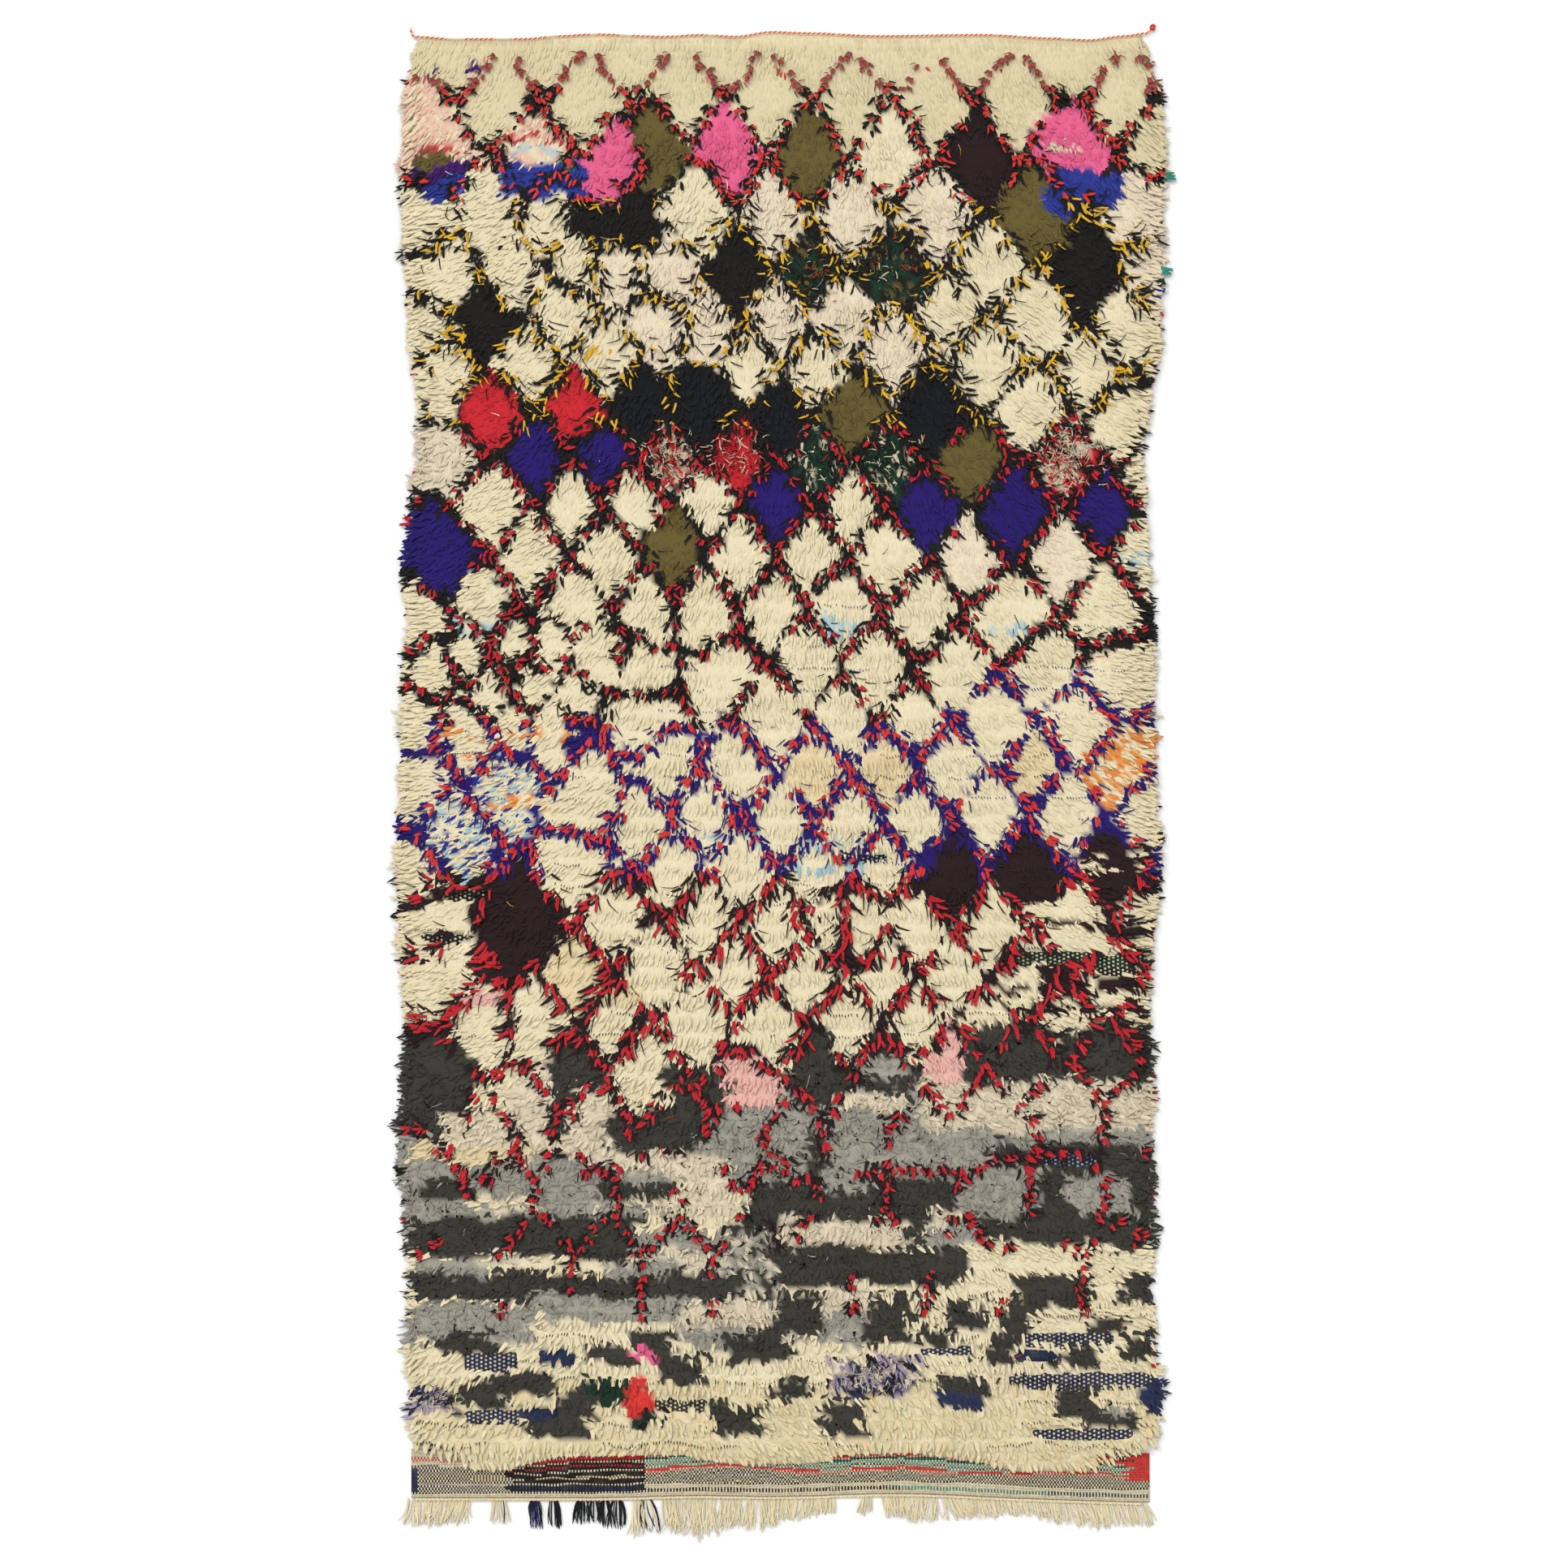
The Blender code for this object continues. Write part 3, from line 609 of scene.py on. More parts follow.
def strand_mesh(name, columns, rings):
    """A mesh of three-sided tapered strands, closed at both ends, each with its atlas cell."""
    root, angle, length, width, lift, bend, base, droop, body = columns
    count = len(root)
    forward = heading_to(angle)
    sideways = np.stack([-forward[:, 1], forward[:, 0]], axis=-1)
    turn = chance.uniform(0, 2 * math.pi, count)
    size = SIDES * rings + 2
    spots = np.zeros((count, size, 3))
    fibre = np.zeros((count, size, 3))
    reach = np.zeros((count, size))
    sideways3 = np.column_stack([sideways, np.zeros(count)])
    normals = np.zeros((count, size, 3))
    normals[:, :, 2] = 1.0
    normals[:, -1, :2] += TIP_TURN * forward
    curve = 2 * np.where(np.abs(bend) < LEAST_BEND, LEAST_BEND, bend)

    def centre(share):
        """The middle of the strand at a share of its length, on its bend."""
        straight = length * np.sin(curve * share) / curve
        swing = length * (1 - np.cos(curve * share)) / curve
        flat = root + forward * straight[:, None] + sideways * swing[:, None]
        return flat, base + lift * rise(share, droop)

    def place(column, share, corner):
        """Set one point of every strand: its middle, or a corner of a ring round it."""
        flat, height = centre(np.full(count, share))
        if corner is not None:
            ring, k = corner
            phase = turn + 2 * math.pi * k / SIDES
            half = width * RING_WIDTHS[rings][ring] / 2
            out = half * np.cos(phase)
            up = half * body * np.sin(phase)
            normals[:, column] += sideways3 * (ROUNDING * np.cos(phase))[:, None]
            flat = flat + sideways * out[:, None]
            height = height + up
            fibre[:, column, 0] = out
            fibre[:, column, 1] = up
        spots[:, column, :2] = flat
        spots[:, column, 2] = np.maximum(height, GROUND_FLOOR)
        fibre[:, column, 2] = share * length
        reach[:, column] = share

    place(0, 0.0, None)
    for ring, share in enumerate(RING_PLACES[rings]):
        for k in range(SIDES):
            place(1 + SIDES * ring + k, share, (ring, k))
    place(size - 1, 1.0, None)
    faces, shares = strand_faces(rings)
    fibre += chance.uniform(0, FIBRE_SHIFT, (count, 1, 3))
    tone = np.repeat(chance.uniform(0, 1, count), size)
    mesh = bpy.data.meshes.new(name)
    fill_mesh(mesh, spots.reshape(-1, 3), faces, count, size)
    add_yarn_attributes(mesh, fibre, tone, reach)
    add_atlas(mesh, count, shares)
    normals /= np.linalg.norm(normals, axis=2, keepdims=True)
    mesh.normals_split_custom_set_from_vertices(normals.reshape(-1, 3))
    return mesh


def strand_faces(rings):
    """Faces of one strand, and for each face corner its share round and along the strand."""
    levels = [0.0, *RING_PLACES[rings], 1.0]
    faces, shares = [], []
    for k in range(SIDES):
        after = (k + 1) % SIDES
        here, there = k / SIDES, (k + 1) / SIDES
        middle = (here + there) / 2
        faces.append((0, 1 + after, 1 + k))
        shares.append(((middle, 0.0), (there, levels[1]), (here, levels[1])))
        for ring in range(rings - 1):
            low, high = 1 + SIDES * ring, 1 + SIDES * (ring + 1)
            near, far = levels[ring + 1], levels[ring + 2]
            faces.append((low + k, low + after, high + after, high + k))
            shares.append(((here, near), (there, near), (there, far), (here, far)))
        last = 1 + SIDES * (rings - 1)
        faces.append((last + k, last + after, last + SIDES))
        shares.append(((here, levels[-2]), (there, levels[-2]), (middle, 1.0)))
    return faces, shares


def fill_mesh(mesh, spots, faces, count=1, size=0):
    """Fill a mesh with count copies of a face pattern, each over size points."""
    sizes = np.array([len(face) for face in faces])
    pattern = np.concatenate([np.array(face) for face in faces])
    shift = (np.arange(count) * size)[:, None]
    loops = (pattern[None, :] + shift).reshape(-1)
    starts = np.concatenate([[0], np.cumsum(np.tile(sizes, count))[:-1]])
    mesh.vertices.add(len(spots))
    mesh.vertices.foreach_set("co", np.asarray(spots, np.float32).reshape(-1))
    mesh.loops.add(len(loops))
    mesh.loops.foreach_set("vertex_index", loops.astype(np.int32))
    mesh.polygons.add(len(starts))
    mesh.polygons.foreach_set("loop_start", starts.astype(np.int32))
    mesh.update(calc_edges=True)
    mesh.polygons.foreach_set("use_smooth", np.ones(len(starts), bool))
    mesh.validate()


def add_attribute(mesh, name, kind, values, domain="POINT"):
    """Keep values on a mesh, for its material to read."""
    attribute = mesh.attributes.new(name, kind, domain)
    key = {"FLOAT": "value", "FLOAT_VECTOR": "vector", "FLOAT_COLOR": "color"}[kind]
    attribute.data.foreach_set(key, np.asarray(values, np.float32).reshape(-1))


def add_yarn_attributes(mesh, fibre, tone, reach):
    """What a yarn's material reads: places in the yarn, its tone, and the share along it, which sets the
    painted shade near the knot.
    """
    add_attribute(mesh, "fibre", "FLOAT_VECTOR", fibre)
    add_attribute(mesh, "tone", "FLOAT", tone)
    add_attribute(mesh, "reach", "FLOAT", reach)


ATLAS_MARGIN = 0.12
ATLAS = "OFBake"


def add_atlas(mesh, count, shares):
    """Give every strand its own cell of the texture sheet, so that nothing overlaps on it."""
    grid = math.ceil(math.sqrt(count))
    pattern = np.concatenate([np.array(face) for face in shares])
    pattern = ATLAS_MARGIN + (1 - 2 * ATLAS_MARGIN) * pattern
    cells = np.stack([np.arange(count) % grid, np.arange(count) // grid], axis=-1)
    places = (cells[:, None, :] + pattern[None, :, :]) / grid
    layer = mesh.uv_layers.new(name=ATLAS)
    layer.data.foreach_set("uv", places.astype(np.float32).reshape(-1))


def new_piece(name, mesh, material, replaces=()):
    """A piece of the rug in its material, in place of the solids it replaces."""
    piece = bpy.data.objects.new(name, mesh)
    bpy.context.scene.collection.objects.link(piece)
    mesh.materials.append(material)
    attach(piece, "root")
    if replaces:
        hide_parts(*replaces)
    return piece


SPECULAR = 0.25


class Shader:
    """A material's node tree, with short calls to add and join its nodes."""

    def __init__(self, name, roughness):
        self.material = bpy.data.materials.new(name)
        self.material.use_nodes = True
        self.tree = self.material.node_tree
        self.surface = self.tree.nodes["Principled BSDF"]
        self.surface.inputs["Roughness"].default_value = roughness
        self.surface.inputs["Specular IOR Level"].default_value = SPECULAR

    def node(self, kind, **settings):
        made = self.tree.nodes.new(kind)
        for key, value in settings.items():
            setattr(made, key, value)
        return made

    def fill(self, socket, value):
        """Give a socket a number, a colour, or what another node puts out."""
        if isinstance(value, (int, float)):
            socket.default_value = value
        elif isinstance(value, tuple):
            socket.default_value = (*value, 1.0)
        else:
            self.tree.links.new(value, socket)

    def attribute(self, name, output):
        return self.node("ShaderNodeAttribute", attribute_name=name).outputs[output]

    def place(self):
        return self.node("ShaderNodeTexCoord").outputs["Object"]

    def split(self, vector):
        made = self.node("ShaderNodeSeparateXYZ")
        self.fill(made.inputs[0], vector)
        return made.outputs

    def math(self, operation, a, b=0.0):
        made = self.node("ShaderNodeMath", operation=operation)
        self.fill(made.inputs[0], a)
        self.fill(made.inputs[1], b)
        return made.outputs[0]

    def mix(self, share, a, b, blend="MIX"):
        """Mix two colours. Sockets 6 and 7 of the node, and output 2, are the ones for colour."""
        made = self.node("ShaderNodeMix", data_type="RGBA", blend_type=blend)
        for value, socket in zip((share, a, b), (made.inputs[0], made.inputs[6], made.inputs[7])):
            self.fill(socket, value)
        return made.outputs[2]

    def noise(self, vector, scale, detail=3.0, roughness=0.6):
        made = self.node("ShaderNodeTexNoise")
        made.inputs["Scale"].default_value = scale
        made.inputs["Detail"].default_value = detail
        made.inputs["Roughness"].default_value = roughness
        self.fill(made.inputs["Vector"], vector)
        return made.outputs["Fac"]

    def stretched(self, vector, scale):
        made = self.node("ShaderNodeMapping")
        made.inputs["Scale"].default_value = scale
        self.fill(made.inputs["Vector"], vector)
        return made.outputs["Vector"]

    def spread(self, value, low, high, to_low=0.0, to_high=1.0):
        """Spread a value's range from low to high over another one."""
        made = self.node("ShaderNodeMapRange")
        limits = {"From Min": low, "From Max": high, "To Min": to_low, "To Max": to_high}
        for key, number in limits.items():
            made.inputs[key].default_value = number
        self.fill(made.inputs["Value"], value)
        return made.outputs["Result"]

    def bump(self, height, distance, strength):
        made = self.node("ShaderNodeBump")
        made.inputs["Distance"].default_value = distance
        made.inputs["Strength"].default_value = strength
        self.fill(made.inputs["Height"], height)
        self.fill(self.surface.inputs["Normal"], made.outputs["Normal"])

    def colour(self, socket):
        self.fill(self.surface.inputs["Base Color"], socket)

    def sheen(self, weight):
        self.surface.inputs["Sheen Weight"].default_value = weight


# A yarn's streaks and fuzz along its fibres, its matted fibres and its patches over the rug,
# and how much each of them and the strand itself counts in the shade
STREAKS = (520, 520, 45)
FUZZ = (1400, 1400, 900)
MATTED = 330.0
PATCHES_SCALE = 9.0
STRAND_SHADE = 0.25
PATCH_SHADE = 0.7
GRAIN_SHADE = 1.7
SHADES = 0.95, 1.60
# How far from the knot the painted shade reaches, as a share of the strand, and how dark it is at the
# knot
PAINTED_SHADE_REACH = 0.40
PAINTED_KNOT_SHADE = 0.90
FUZZ_RELIEF = 0.3
SPUN_RELIEF = 0.0020
FELT_RELIEF = 0.0014


@cache
def yarn_material(letter):
    """Spun or felted yarn: two tones from strand to strand, fibres along it, and painted shade that
    darkens it towards the knot.
    """
    yarn = YARNS[letter]
    shader = Shader(yarn.name + "_yarn", 0.92)
    fibre = shader.attribute("fibre", "Vector")
    strand = shader.attribute("tone", "Fac")
    reach = shader.attribute("reach", "Fac")
    place = shader.place()
    streak = shader.noise(shader.stretched(fibre, STREAKS), 1.0)
    fuzz = shader.noise(shader.stretched(fibre, FUZZ), 1.0, 2.0)
    patch = shader.noise(place, PATCHES_SCALE, 3.0, 0.55)
    matted = shader.noise(place, MATTED, 3.0, 0.65)
    grain = shader.mix(yarn.felt, streak, matted)
    shade = shader.math("MULTIPLY", strand, STRAND_SHADE * (1 - yarn.felt))
    shade = shader.math("ADD", shade, shader.math("MULTIPLY", patch, PATCH_SHADE))
    shade = shader.math("ADD", shade, shader.math("MULTIPLY", grain, GRAIN_SHADE))
    body = shader.mix(shader.spread(shade, *SHADES), linear(yarn.light), linear(yarn.dark))
    # Painted shade: the colour darkens towards the knot, where the strand goes down among the others
    depth = shader.spread(reach, 0.0, PAINTED_SHADE_REACH, PAINTED_KNOT_SHADE, 1.0)
    painted_knot_shade = shader.node("ShaderNodeCombineColor")
    for socket in painted_knot_shade.inputs:
        shader.fill(socket, depth)
    shader.colour(shader.mix(1.0, body, painted_knot_shade.outputs[0], "MULTIPLY"))
    relief = shader.math("ADD", grain, shader.math("MULTIPLY", fuzz, FUZZ_RELIEF))
    shader.bump(relief, SPUN_RELIEF + FELT_RELIEF * yarn.felt, 0.8)
    shader.sheen(0.18)
    return shader.material


END_SPARE = 0.009
HEADING_SPARE = 0.0005


def field_strands(strands):
    """The pile's fill: rows of knots, each end combed over the rows below it."""
    downs = np.arange(FIRST_KNOTS, PILE_LENGTH, ROW_PITCH)
    across, down, row = [], [], []
    for index, level in enumerate(downs):
        y = HEADING - level
        start, end = edges.left(y) + PILE_INSET, edges.right(y) - PILE_INSET
        knots = np.arange(start, end, KNOT_PITCH) + (index % 2) * KNOT_PITCH / 2
        across.append(knots)
        down.append(np.full(len(knots), level))
        row.append(np.full(len(knots), index))
    across, down, row = (np.concatenate(part) for part in (across, down, row))
    across = across + chance.uniform(-KNOT_WANDER, KNOT_WANDER, len(across))
    down = down + chance.uniform(-ROW_WANDER, ROW_WANDER, len(down))
    down = np.maximum(down, HEADING - HEADING_SPARE - edges.top(across))
    kept = down < pile_end(across) - END_SPARE
    grow_pile(strands, across[kept], down[kept], row[kept])


RIDGE_SHAPE = [(0, 1.0), (1, 0.25), (2, -1.0), (3, 1.0)]
RIDGE_HEIGHTS = [(0.0, 0.0002), (0.9, 0.0006), (1.4, 0.0018), (1.9, 0.0036), (2.42, 0.0042)]
LIFT_AT_HEADING = [(0.0, 0.55), (0.08, 0.75), (0.14, 1.0)]


def ridge_of(row, down):
    """Rows come in threes lower down, each three heaped into a ridge."""
    return read(RIDGE_SHAPE, row % ROWS_IN_RIDGE) * read(RIDGE_HEIGHTS, down)


def side_fall(across, down):
    """How much of its height the pile keeps near the two sides."""
    y = HEADING - down
    room = np.minimum(across - edges.left(y), edges.right(y) - across)
    share = np.clip(room / EDGE_FALL, 0, 1)
    return EDGE_LIFT + (1 - EDGE_LIFT) * np.sqrt(share)


def pile_lift(across, down, row):
    """Height of the loose ends over the ground cloth."""
    lift = PILE_LIFT + PILE_LUMPS * hills(across, down) + ridge_of(row, down)
    return lift * read(LIFT_AT_HEADING, down) * side_fall(across, down)


def pile_end(x):
    """How far down the pile's lowest ends reach, where the flat-woven end comes out."""
    return np.interp(x, *np.array(PILE_ENDS).T * CM)


LEAST_SLOPE = 0.3
SHORTEST_END = 0.006
SPARE_AT_FOOT = 0.5


def keep_within(across, down, angle, length, spare):
    """Shorten ends that would reach too far past a side or past the pile's lower end."""
    y = HEADING - down
    room = np.where(angle > 0, edges.right(y) - across, across - edges.left(y))
    below = pile_end(across) - down
    sideways = (room + spare) / np.maximum(np.abs(np.sin(angle)), LEAST_SLOPE)
    downwards = (below + SPARE_AT_FOOT * spare) / np.maximum(np.cos(angle), LEAST_SLOPE)
    return np.minimum(length, np.maximum(np.minimum(sideways, downwards), SHORTEST_END))


# The loose ends by metres down: their length, how far whole ridges roll sideways, how much each
# end strays, and how far its tip hangs
END_LENGTHS = [(0.0, 0.026), (0.1, 0.032), (0.9, 0.036), (1.4, 0.034), (1.8, 0.027), (2.42, 0.025)]
ROLLED = [(1.9, 0.0), (2.1, 0.75), (2.44, 0.9)]
STRAYING = [(0.0, 0.05), (0.15, 0.10), (1.6, 0.12), (1.9, 0.24)]
DROOPS = [(0.0, 0.26), (1.3, 0.26), (1.8, 0.36), (2.42, 0.46)]
RIDGE_TURN = 0.25
COMBING = 0.30
SEEN_SHARE = 0.6

# Felted yarns are fuller, stray more, and are drawn out less
FELTED = 0.65
FULLNESS = 0.95, 2.15
FELTED_FULLER = 0.22
FELTED_STRAYING = 0.34
SHORTENED_BY_FELT = 0.30
SPUN_LENGTH = 1.12
LIFT_SCATTER = 0.0005
LIFT_OF_CURL = 0.0010
LIFT_OF_THIN = 0.0006
MIDDLE_FULLNESS = 1.8
PAST_SIDE = 0.009


def grow_pile(strands, across, down, row):
    """Grow one loose end of yarn out of every knot, its colour read where most of it lies."""
    count = len(across)
    length = read(END_LENGTHS, down) * chance.uniform(0.82, 1.18, count)
    angle = lean(across, down) + COMBING * combing(across, down)
    rolled = read(ROLLED, down) * rolling(across, row // ROWS_IN_RIDGE * RIDGE_TURN)
    angle = angle + rolled + chance.normal(0, 1, count) * read(STRAYING, down)
    toward = heading_to(angle)
    seen_across = (across + toward[:, 0] * length * SEEN_SHARE) / CM
    seen_down = (down - toward[:, 1] * length * SEEN_SHARE) / CM
    letters = yarn_letters(chart_letters(seen_across, seen_down))
    curl = np.array([YARNS[letter].curl for letter in letters])
    felt = np.array([YARNS[letter].felt for letter in letters])
    fullness = chance.uniform(*FULLNESS, count) * (1 + FELTED_FULLER * (felt > FELTED))
    width = np.array([YARNS[letter].width for letter in letters]) * fullness
    scatter = chance.normal(0, LIFT_SCATTER, count)
    lift = pile_lift(across, down, row) + scatter + curl * LIFT_OF_CURL
    lift = lift + LIFT_OF_THIN * (MIDDLE_FULLNESS - fullness)
    bend = chance.normal(0, 1, count) * curl
    angle = angle + chance.normal(0, 1, count) * np.where(felt > FELTED, FELTED_STRAYING, 0.0)
    length = length * (SPUN_LENGTH - SHORTENED_BY_FELT * felt)
    length = keep_within(across, down, angle, length, chance.uniform(0.0, PAST_SIDE, count))
    root = np.stack([across, HEADING - down], axis=-1)
    shown = ~in_patch(seen_across, seen_down)
    columns = [column[shown] for column in (letters, root, angle, length, width, lift, bend)]
    strands.add(*columns, droop=read(DROOPS, down)[shown], body=FLAT_BODY)


class Patch(NamedTuple):
    left: float
    right: float
    top: float
    bottom: float
    weft: str
    warp: str


# Bare places between the rows, where the flat weave of the ground shows
PATCHES = [
    Patch(-54.5, -44.5, 223.8, 226.2, "N", "c"),
    Patch(-55, -44.5, 233.2, 235.6, "N", "c"),
    Patch(-45, -38, 233.2, 235.2, "N", "N"),
    Patch(-23, -12.5, 231.6, 233.4, "G", "c"),
    Patch(40.5, 56.5, 220.4, 222.0, "N", "c"),
    Patch(39, 47, 223.4, 224.8, "N", "N"),
    Patch(38, 63, 227.2, 229.6, "N", "c"),
    Patch(42, 61, 236.8, 238.2, "N", "c"),
    Patch(41.5, 54, 190.0, 191.7, "N", "j"),
    Patch(23, 32.5, 223.0, 224.2, "N", "c"),
    Patch(36, 62, 155.7, 157.6, "D", "c"),
    Patch(53, 62, 158.4, 159.6, "k", "c"),
    Patch(-58, -50, 144.8, 146.6, "k", "c"),
    Patch(-62, -52, 152.6, 154.0, "k", "c"),
    Patch(8, 18, 139.2, 140.4, "k", "j"),
]
ROOM_ABOVE = 0.8
ROOM_BELOW = 0.1
PATCH_RAGGED_ACROSS = 1.6
PATCH_RAGGED_DOWN = 0.5


def in_patch(across, down):
    """Whether each place of the chart lies in a bare place."""
    across = across + PATCH_RAGGED_ACROSS * ragged_across(across * CM, down * CM)
    down = down + PATCH_RAGGED_DOWN * ragged_down(across * CM, down * CM)
    hidden = np.zeros(across.shape, bool)
    for patch in PATCHES:
        beside = (across > patch.left) & (across < patch.right)
        hidden |= beside & (down > patch.top - ROOM_ABOVE) & (down < patch.bottom + ROOM_BELOW)
    return hidden


# Where borders are looked for on the chart, and how far they bow
CHART_HALF = 66.0
CHART_STEP = 0.25
BORDER_REACH = 0.30
BORDER_BOW = 0.7


def border_places(zone):
    """Places along the borders between lozenges, none nearer to another than the spacing."""
    samples = np.arange(-CHART_HALF, CHART_HALF, CHART_STEP)
    borders = []
    for down in np.arange(zone.start, zone.end, CHART_STEP):
        level = np.full(len(samples), down)
        bowed = samples + BORDER_BOW * drift(samples * CM, level * CM)
        first, second, margin = nearest_two(bowed, level)
        near = (margin * LOZENGE_HALF_WIDTH / 2 < BORDER_REACH) & (samples > zone.left)
        picked = np.flatnonzero(near)
        borders.extend(zip(samples[picked], level[picked], first[picked], second[picked]))
    chance.shuffle(borders)
    taken, cells = [], {}
    for across, down, first, second in borders:
        key = (math.floor(across / zone.spacing), math.floor(down / zone.spacing))
        around = [cells.get((key[0] + i, key[1] + j), ()) for i in (-1, 0, 1) for j in (-1, 0, 1)]
        if any(math.dist((across, down), spot) < zone.spacing for cell in around for spot in cell):
            continue
        cells.setdefault(key, []).append((across, down))
        taken.append((across, down, int(first), int(second)))
    return taken


# How full the lattice is, and how much that changes from clump to clump, by centimetres down
FULL_LATTICE = [(180, 0.88), (200, 0.72)]
PATCHY_LATTICE = [(180, 0.65), (200, 1.7)]


def outline_strands(strands):
    """The lattice: bundles of long ends close together along every border of a lozenge."""
    for zone in OUTLINES:
        for across, down, first, second in border_places(zone):
            patchy = read(PATCHY_LATTICE, down) * float(clumps(across * CM, down * CM))
            full = 1.0 if zone.core == FADED else min(1.0, read(FULL_LATTICE, down) + patchy)
            if chance.random() < zone.kept * full and across <= zone.right:
                add_bundle(strands, zone, across, down, first, second)


def line_angle(across, down, first, second):
    """The slope of the border between two lozenges, as an angle from straight down."""
    a, b = LOZENGE_PLACES[first], LOZENGE_PLACES[second]
    slope_across = np.sign(across - b[0]) - np.sign(across - a[0])
    slope_down = np.sign(down - b[1]) - np.sign(down - a[1])
    if not slope_across:
        return None
    along = (-slope_down / LOZENGE_HALF_HEIGHT, slope_across / LOZENGE_HALF_WIDTH)
    sign = 1 if along[1] > 0 else -1
    return math.atan2(sign * along[0], sign * along[1])


# How much a bundle follows its border rather than the combing, by centimetres down
FOLLOWED = [(20, 0.72), (40, 0.55), (140, 0.55), (150, 0.35)]
FOLLOWED_IF_FADED = 0.85

# A bundle's place by its own length, its scatter in centimetres, and its room at the edges
BUNDLE_ABOVE = 0.35
BUNDLE_BESIDE = 0.3
BUNDLE_SCATTER_ACROSS = 0.25
BUNDLE_SCATTER_DOWN = 0.3
BUNDLE_FROM_HEADING = 0.004
BUNDLE_INSET = 0.7 * PILE_INSET
BUNDLE_TURN = 0.10
WIDE_BUNDLE = 0.5

# Its three layers: flanks, wisps over them, and the core on top
FLANK_LIFT = 0.0150
WISP_LIFT = 0.0158
CORE_LIFT = 0.0172
WISPS = 3
WISP_FAN = 0.24
WIDE_WISP_FAN = 0.55
ROOT_SCATTER = 0.0013
STRAND_TURN = 0.13
CORE_LOWER = 0.003
BUNDLE_DROOP = 0.22


def add_bundle(strands, zone, across, down, first, second):
    """One knot's bundle on a border of the lattice: flanks, wisps and a core of another colour."""
    x = (across + chance.uniform(-BUNDLE_SCATTER_ACROSS, BUNDLE_SCATTER_ACROSS)) * CM
    above = BUNDLE_ABOVE * zone.length
    depth = (down - above + chance.uniform(-BUNDLE_SCATTER_DOWN, BUNDLE_SCATTER_DOWN)) * CM
    y = min(HEADING - depth, float(edges.top(x)) - BUNDLE_FROM_HEADING)
    depth = HEADING - y
    if not edges.left(y) + BUNDLE_INSET < x < edges.right(y) - BUNDLE_INSET:
        return
    angle = float(lean(x, depth))
    slope = line_angle(across, down, first, second)
    if slope is not None:
        own = FOLLOWED_IF_FADED if zone.core == FADED else read(FOLLOWED, down)
        angle = (1 - own) * angle + own * slope
    angle += chance.normal(0, BUNDLE_TURN)
    x -= BUNDLE_BESIDE * zone.length * CM * math.sin(angle)
    fall = float(side_fall(np.array([x]), np.array([depth]))[0])
    thick = zone.reach * CM
    fan = WIDE_WISP_FAN if zone.core == WISPY else WISP_FAN
    flanks = int(chance.integers(2, 5)) if zone.reach > WIDE_BUNDLE else 2
    cores = int(chance.integers(2, 4)) if chance.random() < zone.cored else 0
    long, short = zone.length * 0.90, zone.length * 0.70
    for letter, count, span, lift, length, thin, fanned in (
        (zone.flank, flanks, thick * 0.8, FLANK_LIFT, long, 1.25, 0.14),
        (zone.flank, WISPS, thick * 1.10, WISP_LIFT, long, 0.46, fan),
        (zone.core, cores, thick * 0.40, CORE_LIFT, short, zone.bold, 0.10),
    ):
        if not count:
            continue
        yarn = YARNS[letter]
        offset = np.linspace(-span, span, count) + chance.normal(0, ROOT_SCATTER, count)
        side = np.array([math.cos(angle), math.sin(angle)])
        root = np.array([x, y]) + offset[:, None] * side
        turned = angle + offset / thick * fanned + chance.normal(0, STRAND_TURN, count)
        reach = length * CM * chance.uniform(0.7, 1.15, count)
        reach = keep_within(root[:, 0], HEADING - root[:, 1], turned, reach, SHORTEST_END)
        root[:, 1] -= CORE_LOWER if letter == zone.core else 0.0
        width = yarn.width * thin * chance.uniform(0.85, 1.2, count)
        lift = (lift + chance.normal(0, 0.001, count)) * fall
        bend = chance.choice([-1, 1], count) * chance.uniform(0.4, 2.4, count) * yarn.curl
        strands.add(letter, root, turned, reach, width, lift, bend, droop=BUNDLE_DROOP)


# The dotted lines between rows, in centimetres, and how high the gates are where they show
DOTS_START = 96.0
DOTS_END = 241.0
DOTS_HALF = 62.0
DOT_ROWS = 3.66
DOT_PITCH = 0.50
DOTS_SHOWN = 0.34
DOTS_SHOWN_LOW = 0.10
LOW_FROM = 215
CREAMS = "cCtbwWB"
BLUE_DOTS_END = 140


def weft_dots(strands):
    """Dotted lines where two rows part and the dark wefts show between cream warps."""
    for down in np.arange(DOTS_START, DOTS_END, DOT_ROWS):
        places = np.arange(-DOTS_HALF, DOTS_HALF, DOT_PITCH)
        under = chart_letters(places, np.full(len(places), down))
        for across, filling in zip(places, under):
            x = across * CM
            depth = (down + 0.6 * drift(x, down * CM * 0.2) + chance.normal(0, 0.06)) * CM
            bare = DOTS_SHOWN if down < LOW_FROM else DOTS_SHOWN_LOW
            if filling not in CREAMS or gates(x, depth) < bare or chance.random() < 0.15:
                continue
            letter = "u" if down < BLUE_DOTS_END and gates(x + 1, depth) > -0.2 else "k"
            root = np.array([[x, HEADING - depth]])
            angle = float(lean(x, depth)) * 0.6
            strands.add(letter, root, angle, chance.uniform(0.005, 0.009), 0.0022, 0.0128, 0.0,
                        0.0050)


STRAYS = 170
STRAY_YARNS = "kkkkccbyrg"


